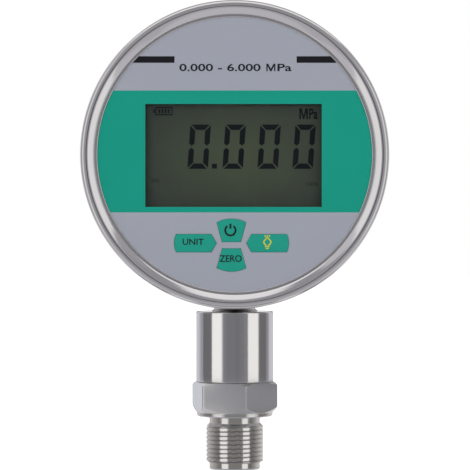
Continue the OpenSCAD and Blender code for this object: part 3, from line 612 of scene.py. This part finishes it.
def key_outline(corners, middle, rise):
    """Edges through anticlockwise corners; the one from the third to the fourth is an arc of that rise.

    The arc's radius is (c^2 / 4 + rise^2) / (2 rise) for a chord c.
    """
    p = np.array(corners)
    edges = [side_line(a, b) for a, b in zip(p, np.roll(p, -1, 0))]
    outward = edges.pop(2)[:2]
    radius = (((p[3] - p[2]) ** 2).sum() / 4 + rise ** 2) / (2 * rise)
    centre = (p[2] + p[3]) / 2 + np.multiply(outward, rise - radius)
    return dict(middle=np.array(middle), edges=np.array(edges), centre=centre, radius=radius)


def convex_outline(middle, edges, centre, radius, inset, softness=0.16):
    """Distance to the nearest edge or arc in each direction, by a soft least; edges are (nx, ny, d)."""
    u = np.stack([np.cos(turns), np.sin(turns)], -1)
    normals, reach = edges[:, :2], edges[:, 2]
    toward = u @ normals.T
    gap = reach - inset - normals @ middle
    straight = np.where(toward > 1e-6, gap / np.maximum(toward, 1e-6), 1e3)
    off = middle - centre
    b = u @ off
    curved = -b + np.sqrt(b * b - off @ off + (radius - inset) ** 2)
    every = np.concatenate([straight, curved[:, None]], 1)
    least = every.min(1, keepdims=True)
    soft = least[:, 0] - softness * np.log(np.exp((least - every) / softness).sum(1))
    return middle + u * soft[:, None]


turns = np.linspace(0, 2 * np.pi, 240, endpoint=False)
key_levels = [(-0.08, -3.9), (-0.08, -0.16), (-0.05, -0.09), (0.02, -0.03), (0.14, 0.0)]
arch = key_outline([(-3.1, 1.2), (3.1, 1.2), (4.9, 7.7), (-4.9, 7.7)], (0.0, 5.05), 1.2)
arrow = key_outline([(5.15, 0.0), (6.85, -2.975), (18.8, -2.975), (18.8, 2.975), (6.85, 2.975)],
                    (12.3, 0.0), 0.6)

# %% Key caps
def key_cap(key, outline, mirror, up):
    """Stacks inset copies of the outline up to the key's face, and closes both ends."""
    place = keys_middle + (0.0, up)
    layers = [on_face(convex_outline(inset=inset, **outline) * mirror + place, key_front + level)
              for inset, level in key_levels]
    piece = make_piece(key + "_cap", np.array(layers), stacked(len(layers), len(turns)), crease=50)
    dress(piece, key_green, "key_green", "key_" + key, body=key + "_key")


# Silicone-coated ABS keys: green, with the dull skin feel of a coated key.
key_green = moulded("key_coat_green", "#169380", 0.4, grain_mm=0.35, relief_mm=0.008, drift=0.03, shine=0.2)
key_cap("power", arch, (1, 1), 0.0)
key_cap("zero", arch, (1, -1), 0.0)
key_cap("unit", arrow, (-1, 1), 0.7)
key_cap("light", arrow, (1, 1), 0.7)

# %% [markdown]
# ## Marks and words
# Printed marks are thin layers of ink. Each one is drawn as flat outlines and given a hair of thickness,
# so it is a real layer with an edge. Words come from the built-in letters, turned into a mesh, and are
# then stretched to their printed width and height. The M is an outline of its own, because the built-in
# one fills up when its strokes are made bolder.

# %% Ink layers
INK_MM = 0.02


def ink(name, outlines, front, material, slot, body="gauge"):
    """Prisms of ink: each outline of (right, up) points, listed round, a hair thick."""
    points, faces, start = [], [], 0
    for outline in outlines:
        flat = np.asarray(outline, float)
        points += [on_face(flat, front), on_face(flat, front + INK_MM)]
        faces += stacked(2, len(flat), start)
        start += 2 * len(flat)
    return dress(make_piece(name, np.concatenate(points), faces), material, slot, body=body)


def word(name, text, middle, width, height, front, material, slot, body="gauge", bolder=0.018):
    """Built-in letters made a mesh, stretched to a width and height, and laid on the face."""
    curve = bpy.data.curves.new(name, "FONT")
    curve.body = text
    curve.size = 1.0
    curve.resolution_u = 4
    curve.extrude = 0.005
    curve.offset = bolder
    letters = in_scene(name, curve)
    mesh = as_shown(letters)
    bpy.data.objects.remove(letters)
    points = np.zeros(len(mesh.vertices) * 3)
    mesh.vertices.foreach_get("co", points)
    points = points.reshape(-1, 3)
    faces = [list(face.vertices) for face in mesh.polygons]
    low, high = points.min(0), points.max(0)
    share = (points - low) / (high - low)
    placed = np.stack([middle[0] + (share[:, 0] - 0.5) * width, -front - share[:, 2] * INK_MM,
                       face_z + middle[1] + (share[:, 1] - 0.5) * height], -1)
    return dress(make_piece(name, placed, faces), material, slot, body=body)


def letter_m(middle, width, height, stroke_w):
    """A capital M as one outline: two posts and a V between them, all of about one stroke's width."""
    left = np.array([0, stroke_w, stroke_w, width * 0.42])
    across = np.concatenate([left, width - left[::-1],
                             [width, width - stroke_w * 1.35, width / 2, stroke_w * 1.35, 0]])
    share = np.array([0, 0, 0.66, 0, 0, 0.66, 0, 0, 1, 1, 0.34, 1, 1])
    return np.stack([across - width / 2 + middle[0], (share - 0.5) * height + middle[1]], -1)


# %% Words
# Screen-printed ink: dense, with a slight sheen.
ink_black = moulded("screen_ink_black", "#15171b", 0.45, relief_mm=0.003, shine=0.2)
ink_yellow = moulded("screen_ink_yellow", "#c8c41f", 0.45, relief_mm=0.003, shine=0.2)
# Dyed liquid crystal where the display is switched on: blue-black, seen through its polariser.
crystal_dark = moulded("liquid_crystal_on", "#10131a", 0.3, relief_mm=0.001, shine=0.1)
# A faint trace of the same where it is nearly off.
crystal_faint = moulded("liquid_crystal_faint", "#2b302c", 0.3, relief_mm=0.001, shine=0.1)

on_film = (film_front, ink_black, "film_grey")
on_key = (key_front, ink_black, "key_green")
word("range_marking", "0.000 - 6.000", (-5.0, 29.6), 27.6, 2.55, *on_film)
word("range_unit", "Pa", (16.95, 29.6), 4.8, 2.55, *on_film)
ink("range_unit_m", [letter_m((12.3, 29.6), 3.1, 2.55, 0.47)], *on_film)
word("unit_word", "UNIT", (-14.1, -29.65), 7.2, 2.15, *on_key, "unit_key")
word("zero_word", "ZERO", (-1.4, -35.35), 7.6, 2.35, *on_key, "zero_key")

# %% [markdown]
# The power symbol is an open ring with a bar in its gap. A band of even width is a line of points moved
# to both sides by half the width, along its own normal.

# %% Power and lamp symbols
def band_outline(line, width):
    """The outline of a stroke: the line moved by half its width to one side, and back on the other."""
    ahead = np.gradient(line, axis=0)
    aside = unit(np.stack([-ahead[:, 1], ahead[:, 0]], -1)) * width / 2
    return np.concatenate([line + aside, (line - aside)[::-1]])


def bar_outline(x, up, w, h):
    """A rectangle round its middle."""
    return np.array([(-w, -h), (w, -h), (w, h), (-w, h)]) / 2 + (x, up)


def moved(at, *outlines):
    """Outlines drawn round the origin, moved to a place on the face."""
    return [outline + at for outline in outlines]


power_symbol = moved((-1.45, -25.75), band_outline(arc((0, 0), 1.75, 125, 415, 49), 0.66),
                     bar_outline(0, 1.4, 0.7, 1.75))
ink("power_symbol", power_symbol, *on_key, "power_key")

t = np.linspace(0, 1, 25)
bulb_side = np.stack([0.42 + 0.78 * np.sin(np.pi * t) ** 1.3, 2.5 * t - 1.15], -1)
ray = np.array([(0.95, 2.4), (0.5, 1.9)])
lamp_bars = [(0, 1.45, 1.15, 0.4), (0, -1.45, 1.5, 0.4), (0, -2.05, 1.0, 0.4), (0, 2.15, 0.4, 0.7)]
lamp_symbol = moved(
    (11.1, -29.85), *(band_outline(bulb_side * (way, 1), 0.42) for way in (-1, 1)),
    *(bar_outline(*bar) for bar in lamp_bars), *(band_outline(ray * (way, 1), 0.36) for way in (-1, 1)))
ink("lamp_symbol", lamp_symbol, key_front, ink_yellow, "key_green", "light_key")

# %% [markdown]
# ## The display
# A liquid crystal shows dark marks that lie inside the glass, so they are drawn as thin layers on the
# front glass, behind the clear pane. A figure has seven strokes with mitred ends and thin gaps between
# them, and leans a few degrees. Only the six outer strokes are on, which reads as a nought.

# %% Display marks
digit_w, digit_h, stroke, gap, lean = 7.0, 15.1, 1.82, 0.2, np.tan(radians(4))
digit_pitch = 11.92
first_digit = -12.1
digits_up = 2.75


def nought(x):
    """The six outer strokes of a seven-stroke figure, slanted to the right as they rise."""
    w, h = digit_w / 2, digit_h / 2
    inner = w - stroke - gap
    top = [(-w + gap * 2, h), (w - gap * 2, h), (inner, h - stroke), (-inner, h - stroke)]
    post = [(-w, h - gap * 1.6), (-w + stroke, h - stroke - gap * 1.6), (-w + stroke, stroke * 0.62),
            (-w + stroke / 2, gap * 1.6), (-w, stroke * 0.62)]
    strokes = [np.array(post) * (flip_x, flip_y) for flip_x in (1, -1) for flip_y in (1, -1)]
    strokes += [np.array(top) * (1, flip_y) for flip_y in (1, -1)]
    return [np.stack([s[:, 0] + s[:, 1] * lean + x, s[:, 1] + digits_up], -1) for s in strokes]


on_glass = (glass_front, crystal_dark, "lcd_glass")
faint_on_glass = (glass_front, crystal_faint, "lcd_glass")
figures = [mark for k in range(4) for mark in nought(first_digit + k * digit_pitch)]
figures.append(bar_outline(first_digit + 5.2, digits_up - digit_h / 2 + 0.9, 1.7, 1.65))
ink("display_figures", figures, *on_glass)
word("display_unit", "Pa", (26.8, 13.95), 2.9, 3.7, *on_glass, bolder=0.03)
ink("display_unit_m", [letter_m((23.5, 13.95), 2.95, 3.7, 0.62)], *on_glass)
battery_bars = [(0, 1.2, 5.8, 0.44), (0, -1.2, 5.8, 0.44), (2.75, 0, 0.32, 2.8), (-2.75, 0, 0.4, 2.8),
                (-3.4, 0, 0.5, 1.3)] + [(1.06 * k - 1.55, 0, 0.68, 1.4) for k in range(4)]
ink("display_battery", moved((-24.1, 14.85), *(bar_outline(*bar) for bar in battery_bars)), *on_glass)
word("display_low_mark", "0%", (-26.9, -8.8), 2.5, 1.2, *faint_on_glass)
word("display_high_mark", "100%", (26.5, -10.0), 4.1, 1.2, *faint_on_glass)

# %% Display glass and pane
def display_glass():
    """Polarised glass: dark green-grey with a faint mottle, lighter in its middle and darker towards its
    edges by painted shade of the window's recess, under a clear gloss.
    """
    material, tree, place = new_material("lcd_polariser_glass")
    # Painted shade: the colour darkens with the distance from the display's middle, as the recess round the
    # window shades its edges; a random mottle is mixed in.
    middle = (0.002, 0.0, (face_z - 0.3) * MM)
    centred = add(tree, "VectorMath", {0: place, 1: middle}, operation="SUBTRACT")
    scaled = add(tree, "VectorMath", {0: centred, 1: (31.0, 0.0, 52.0)}, operation="MULTIPLY")
    away = add(tree, "VectorMath", {0: scaled}, operation="LENGTH").outputs["Value"]
    mixed = add(tree, "Math", {0: grain(tree, place, 70.0), 1: 0.35, 2: away}, operation="MULTIPLY_ADD")
    mottle_and_painted_shade = add(tree, "MapRange", {"Value": mixed, "From Min": 0.2, "From Max": 1.35})
    skin = add(tree, "BsdfPrincipled", {
        "Base Color": tinted(tree, mottle_and_painted_shade, paint("#535849"), paint("#434743")),
        "Roughness": 0.18,
        "Specular IOR Level": 0.1,
    })
    add(tree, "OutputMaterial", {"Surface": skin})
    return material


def clear_pane():
    """Clear acrylic: glass to the eye, while all other light goes straight through to the display."""
    material, tree, place = new_material("pmma_clear_pane")
    tone = tinted(tree, grain(tree, place, 90.0), paint("#f0f3f1"), paint("#f4f7f5"))
    skin = add(tree, "BsdfPrincipled", {"Base Color": tone, "Roughness": 0.0, "IOR": 1.49,
                                        "Transmission Weight": 1.0})
    through = add(tree, "BsdfTransparent", {"Color": paint("#f2f5f3")})
    seen = add(tree, "LightPath").outputs["Is Camera Ray"]
    add(tree, "OutputMaterial", {"Surface": add(tree, "MixShader", {0: seen, 1: through, 2: skin})})
    return material


lcd_glass = display_glass()
pane_clear = clear_pane()

# %% [markdown]
# ## The back
# The battery door is pressed from the same sheet as the housing, with eased edges, and four screws with
# cross recesses hold it. A plate is a stack of inset copies of its outline. A screw head is a dome whose
# height falls with the radius, less a cross: the recess is deepest in the middle of its two arms.

# %% Door and screws
def rounded_rectangle(half_w, half_h, radius, steps=10):
    """The outline of a rectangle with round corners, anticlockwise."""
    signs = np.array([(1, 1), (-1, 1), (-1, -1), (1, -1)])
    corners = signs * (half_w - radius, half_h - radius)
    return np.concatenate([arc(c, radius, 90 * k, 90 * k + 90, steps) for k, c in enumerate(corners)])


door_back, door_front = -door_high[1], -door_low[1]
door_half_w, _, door_half_h = (door_high - door_low) / 2
door_r, door_ease = 4.0, 0.5
insets = door_ease * (1 - np.cos(np.radians(np.linspace(0, 90, 6))))
fronts = door_back + door_ease * (1 - np.sin(np.radians(np.linspace(0, 90, 6))))
layers = [on_face(rounded_rectangle(door_half_w - inset, door_half_h - inset, door_r - inset), front)
          for inset, front in [(0.0, door_front), *zip(insets, fronts)]]
door = make_piece("battery_door_pressed", np.array(layers), stacked(len(layers), len(layers[0])), crease=50)
dress(door, satin_steel, "case_steel", "battery_door")


def screw_heads():
    """Four pan heads on a polar grid: a dome, less a cross whose depth fades at its arms' ends."""
    low, high = box_mm("door_screws")
    head_r, head_t, columns = 2.8, 1.9, 72
    around = np.linspace(0, 2 * np.pi, columns, endpoint=False)[None, :]
    share = np.linspace(0, 1, 26)[:, None]
    dome = head_t * (0.45 + 0.55 * np.sqrt(np.clip(1 - (share * 0.97) ** 2.6, 0, 1)))
    x, z = np.abs(head_r * share * np.cos(around)), np.abs(head_r * share * np.sin(around))
    cross = np.clip((0.42 - np.minimum(x, z)) / 0.1, 0, 1) * np.clip((1.5 - np.maximum(x, z)) / 0.25, 0, 1)
    height = dome - cross * np.minimum(dome * 0.6, 1.0)
    height = np.concatenate([height, np.zeros((2, columns))])
    radius = np.concatenate([share * head_r, [[head_r], [0.0]]])
    x, z = radius * np.cos(around), radius * np.sin(around)
    low, high = low + head_r, high - head_r
    heads = [np.stack([x + at_x, height - door_back, z + at_z], -1)
             for at_x in (low[0], high[0]) for at_z in (low[2], high[2])]
    rows = squares(len(radius), columns, close_rows=False)
    faces = np.concatenate([rows + k * x.size for k in range(len(heads))])
    return make_piece("door_screw_heads", np.concatenate(heads), faces.tolist(), crease=40)


dress(screw_heads(), nickel_plate, "plated_steel", "door_screws")

# %% [markdown]
# ## The battery springs
# Each battery is pressed forward by a cone of spring wire. The wire is a tube carried along a helix
# whose radius shrinks from the contact to the battery. The first and last half turn lie flat.

# %% Springs
def coil(start, length, big, small, turns_, wire, way, steps, sides):
    """A wire along a helix about X: the radius falls from big to small, ends flattened."""
    s = np.linspace(0, 1, steps)
    rise = np.clip((s * turns_ - 0.5) / (turns_ - 1.0), 0, 1)
    radius = big + (small - big) * rise
    turn = 2 * np.pi * turns_ * s
    along_x = way * (wire + rise * (length - 2 * wire))
    path = np.stack([along_x, radius * np.cos(turn), radius * np.sin(turn)], -1)
    along = unit(np.gradient(path, axis=0))
    out = np.stack([np.zeros(steps), np.cos(turn), np.sin(turn)], -1)
    out = unit(out - along * (out * along).sum(1, keepdims=True))
    third = np.cross(along, out)
    a = np.linspace(0, 2 * np.pi, sides, endpoint=False)[None, :, None]
    return start + path[:, None] + wire * (np.cos(a) * out[:, None] + np.sin(a) * third[:, None])


spring_low, spring_high = box_mm("battery_springs")
spring_front = (spring_low[1] + spring_high[1]) / 2
cell_pitch = 11.0
wire = 0.3
steps, sides = 160, 8
tubes, coil_faces = [], []
for k, way in enumerate((1, -1, 1)):
    end_x = spring_low[0] if way > 0 else spring_high[0]
    start = np.array((end_x, spring_front, face_z + (k - 1) * cell_pitch))
    tubes.append(coil(start, 4.2, 3.0 - wire, 1.5 - wire, 4.5, wire, way, steps, sides))
    coil_faces += stacked(steps, sides, k * steps * sides)
springs = make_piece("battery_spring_coils", np.concatenate(tubes), coil_faces)
dress(springs, nickel_plate, "plated_steel", "battery_springs")

# %% [markdown]
# ## The parts that stay as they are
# The other parts already have their real shape. Each gets the finish of what it is made of. A carried
# over part is made of loose triangles, so Weld joins them and a small Bevel breaks the sharp edges of
# the ones that can be seen from outside.

# %% Finishes of the carried parts
finishes = {
    film_print: ["face_film"],
    pane_clear: ["window_pane"],
    lcd_glass: ["lcd_front_glass", "lcd_rear_glass"],
    abs_black: ["face_panel", "battery_tray", "plunger_power", "plunger_zero", "plunger_unit",
                "plunger_light"],
    epdm_rubber: ["sensor_oring", "neck_gasket", "case_gasket", "door_gasket"],
    turned_steel: ["sensor_capsule", "sensor_retainer", "neck_washer", "neck_nut"],
    nickel_plate: ["clinch_nuts", "board_screws", "battery_contacts", "lcd_pins", "crystal_can"],
    gold_plate: ["sensor_pins"],
    board_mask: ["sensor_board", "main_board"],
    pvc_grey: ["sensor_lead"],
    pvc_red: ["battery_lead_positive"],
    pvc_black: ["battery_lead_negative"],
    nylon_white: ["sensor_plug", "sensor_socket", "battery_plug", "battery_socket", "lcd_frame"],
    battery_sleeve: ["battery_cells"],
    pbt_grey: ["switch_bodies"],
    light_guide: ["lcd_backlight", "backlight_leds"],
    chip_epoxy: ["processor_chip", "converter_chip", "voltage_regulator", "board_resistors"],
    ceramic_tan: ["board_capacitors"],
}
for material, names in finishes.items():
    for name in names:
        nodes[name].data.materials.clear()
        nodes[name].data.materials.append(material)
for name, width in {"battery_tray": 0.15, "door_gasket": 0.1, "neck_gasket": 0.1}.items():
    weld = nodes[name].modifiers.new("join", "WELD")
    weld.merge_threshold = 0.001 * MM
    bevel = nodes[name].modifiers.new("ease", "BEVEL")
    bevel.width = width * MM
    bevel.segments = 2
    bevel.limit_method = "ANGLE"
    bevel.angle_limit = radians(40)
print("finishes on", sum(len(names) for names in finishes.values()), "carried parts")

# %% [markdown]
# ## Studio
# Metal shows what stands round it, so the studio is made of cards. Only reflections see them. The head
# sees a wide sphere of cards in five belts from floor to ceiling. The middle one is grey in front, with a
# bright strip at each side and dimmer ones beyond. The stem has its own small screen, 60 mm from its
# axis: tiers for the barrel, the collar and the thread, with a white strip at each side, and one that gives
# each flat of the hexagon its own even grey. The head is nearer to that screen than the stem is, so the
# screen lets rays shorter than 45 mm through. A grey mat lies under the tip. Lamps that reflections don't
# see light the painted and moulded parts evenly.

# %% Cards
def card(name, points, strength, code="#ffffff", reach=0.0):
    """A sheet of light from a grid of points, seen only by reflections longer than its reach in metres."""
    mesh = mesh_of(name, points, squares(*points.shape[:2], False, False).tolist())
    material, tree, _ = new_material(name)
    glow = add(tree, "Emission", {"Color": paint(code), "Strength": strength})
    clear = add(tree, "BsdfTransparent", {"Color": paint("#ffffff")})
    length = add(tree, "LightPath").outputs["Ray Length"]
    far = add(tree, "Math", {0: length, 1: reach}, operation="GREATER_THAN")
    add(tree, "OutputMaterial", {"Surface": add(tree, "MixShader", {0: far, 1: clear, 2: glow})})
    mesh.materials.append(material)
    light_sheet = in_scene(name, mesh)
    for rays in ("camera", "diffuse", "shadow", "transmission"):
        setattr(light_sheet, "visible_" + rays, False)


QUARTER = np.pi / 2


def far_patch(start, end, low, high, distance=1000.0):
    """Part of a sphere round the face's middle: turns from straight in front, + to the right, and rises."""
    turn = np.radians(np.linspace(start, end, 24))[None, :]
    rise = np.radians(np.linspace(low, high, 16))[:, None]
    return around_stem(distance * np.cos(rise), distance * np.sin(rise) + face_z, turn - QUARTER)


def near_patch(start, end, low, high, shown_on, distance=60.0):
    """Part of an upright cylinder round the stem, placed by where it shows in a level view.

    A round of radius shown_on mirrors it between its angles start and end. A ray that meets the round at
    angle p leaves at 2p, and passes the axis at shown_on * sin(p), so it ends at 2p - arcsin of that share.
    """
    met = np.radians(np.linspace(start, end, 24))[None, :]
    turn = 2 * met - np.arcsin(shown_on * np.sin(met) / distance)
    return around_stem(distance, np.array([[low], [high]]), turn - QUARTER)


# %% Cards round the head
WARM, COOL = "#f9f7fb", "#f8f6ff"
far_belts = {
    # rises from, to, and the (start, end, strength) of each card
    "floor": (-90, -40, [(-180, 180, 0.8)]),
    "low": (-40, -22, [(-112, -70, 0.7), (-70, -36, 0.8), (-36, 36, 0.67), (36, 70, 0.8), (70, 112, 0.7)]),
    "level": (-22, 26, [
        (-11, 11, 0.46), (-25, -11, 0.6), (11, 25, 0.6), (-36, -25, 0.73), (25, 36, 0.73), (-51, -36, 1.24),
        (36, 51, 1.24), (-58, -51, 0.97), (51, 58, 0.97), (-70, -58, 0.78), (58, 70, 0.78),
        (-112, -70, 0.6), (70, 112, 0.6), (150, 176, 0.38), (184, 210, 0.38)]),
    "high": (26, 47, [(-112, -70, 0.7), (-70, -36, 0.86), (-36, 36, 0.45), (36, 70, 0.54), (70, 112, 0.5)]),
    "ceiling": (47, 90, [(-95, 95, 1.3), (95, 265, 0.5)]),
}
for belt, (low, high, parts) in far_belts.items():
    for k, (start, end, strength) in enumerate(parts):
        code = WARM if strength > 0.9 else COOL
        card(f"card_{belt}_{k}", far_patch(start, end, low, high), strength, code)
# Before them stand a card low in front, and a small dark one that stands for the camera's lens.
card("card_table", far_patch(-11, 11, -22, -5, 950.0), 0.6, COOL)
card("card_lens", far_patch(-4.6, 4.6, -1.2, 4.9, 900.0), 0.08)

# %% Cards round the stem
barrel_parts = [
    # start, end, strength
    (-17.7, -12, 0.34), (-12, -6.5, 0.3), (-6.5, 1.1, 0.305), (1.1, 7.1, 0.285), (7.1, 13.6, 0.31),
    (13.6, 20, 0.36), (-19.6, -17.7, 0.9), (-35.8, -19.6, 1.45), (20, 37.7, 1.4), (37.7, 39.5, 0.35),
    (-54.5, -35.8, 0.25), (39.5, 54.5, 0.25), (-62.3, -54.5, 0.55), (-67.5, -62.3, 0.8), (-80, -67.5, 0.9),
    (-105.5, -80, 0.8), (54.5, 61.3, 0.45), (61.3, 80, 0.9), (80, 105.5, 0.5),
]
flat_parts = [
    (-90, -78, 0.6), (-78, -47, 0.93), (-47, -20, 0.4), (-20, 0, 0.48), (0, 10, 0.46), (10, 20, 0.45),
    (20, 48, 0.425), (48, 90, 0.5),
]
thread_parts = [
    (-14.8, 17.0, 0.3), (-30.8, -14.8, 1.3), (17.0, 31.2, 1.3), (-41, -30.8, 0.28), (-47, -41, 0.38),
    (-57, -47, 0.52), (-66, -57, 0.66), (-80, -66, 0.75), (-102, -80, 0.85), (31.2, 43, 0.24),
    (43, 49, 0.36), (49, 56, 0.5), (56, 66, 0.72), (66, 102, 0.85),
]
stem_tiers = {
    # from height, to height, the radius that mirrors it, its cards, and the colour of the grey ones
    "barrel": (9.2, 37.5, 13.5, barrel_parts, "#f5f4fe"),
    "flats": (-1.85, 9.2, 0.0, flat_parts, "#f3f4ff"),
    "collar": (-3.55, -1.85, 13.3, barrel_parts, "#f8f7fc"),
    "thread": (-30.0, -3.55, 10.0, thread_parts, "#fffaf8"),
}
for tier, (low, high, shown_on, parts, code) in stem_tiers.items():
    for k, (start, end, strength) in enumerate(parts):
        card(f"card_{tier}_{k}", near_patch(start, end, low, high, shown_on), strength,
             "#fdfcfa" if strength > 1 else code, reach=0.045)
all_round = np.radians(np.linspace(-180, 180, 48))[None, :]
card("card_mat", around_stem(np.array([[9.0], [17.0]]), tip - 0.5, all_round), 0.47, "#f3f4ff")

# %% Floor, world and lamps
def floor_finish():
    """Matt white card: shaded by the lamps, lifted to white for the camera, its shadow kept."""
    material, tree, place = new_material("floor_card")
    tone = tinted(tree, grain(tree, place, 400.0, detail=1.0), paint("#dcdcdc"), paint("#dedede"))
    skin = add(tree, "BsdfDiffuse", {"Color": tone})
    glow = add(tree, "Emission", {"Color": paint("#ffffff"), "Strength": 0.8})
    lifted = add(tree, "AddShader", {0: skin, 1: glow})
    seen = add(tree, "LightPath").outputs["Is Camera Ray"]
    add(tree, "OutputMaterial", {"Surface": add(tree, "MixShader", {0: seen, 1: skin, 2: lifted})})
    return material


floor_half = 4000.0
corners = [(x * floor_half, y * floor_half, tip) for x, y in ((-1, -1), (1, -1), (1, 1), (-1, 1))]
floor_mesh = mesh_of("studio_floor", np.array(corners), [(0, 1, 2, 3)])
floor_mesh.materials.append(floor_finish())
floor = in_scene("studio_floor", floor_mesh)
floor.visible_glossy = False

world = bpy.data.worlds.new("white_studio")
bpy.context.scene.world = world
world.use_nodes = True
sky = world.node_tree
sky.nodes.clear()
ray = add(sky, "LightPath").outputs
seen = add(sky, "Math", {0: ray["Is Camera Ray"], 1: ray["Is Glossy Ray"]}, operation="MAXIMUM")
seen = add(sky, "Math", {0: seen, 1: ray["Is Transmission Ray"]}, operation="MAXIMUM")
back = add(sky, "Background", {"Color": paint("#ffffff"), "Strength": between(sky, seen, 0.35, 1.0)})
add(sky, "OutputWorld", {"Surface": back})


def lamp(name, at, size, power):
    """A square soft lamp that looks at the middle of the gauge and isn't seen in reflections."""
    light = bpy.data.lights.new(name, "AREA")
    light.size = size
    light.energy = power
    holder = in_scene(name, light)
    holder.location = at
    dx, dy, dz = np.array((0, 0, face_z * MM)) - at
    holder.rotation_euler = (np.arctan2(np.hypot(dx, dy), -dz), 0.0, np.arctan2(-dx, dy))
    holder.visible_glossy = False


lamp("lamp_left", (-0.9, -1.3, 0.5), 0.9, 9.8)
lamp("lamp_right", (0.9, -1.3, 0.4), 0.9, 8.4)
lamp("lamp_top", (0.0, 0.3, 1.4), 1.0, 5.6)
lamp("lamp_back", (0.3, 1.5, 0.8), 1.2, 8.4)

# %% [markdown]
# ## Camera
# The picture is taken level, from about 850 mm, with its axis through the lower part of the head.

# %% Camera
camera_distance, camera_height = 850.0, face_z - 27.85
frame_width = 164.5
sensor = 36.0
camera_data = bpy.data.cameras.new("camera")
camera = in_scene("camera", camera_data)
camera_data.sensor_width = sensor
camera_data.lens = sensor * camera_distance / frame_width
camera_data.shift_y = 1.5 / 470
camera.location = (0.11 * MM, -camera_distance * MM, camera_height * MM)
camera.rotation_euler = (radians(90), 0, 0)
bpy.context.scene.camera = camera
bpy.context.scene.view_settings.view_transform = "Standard"
print("lens", round(camera_data.lens, 1), "mm, camera at height", round(camera_height, 1), "mm")
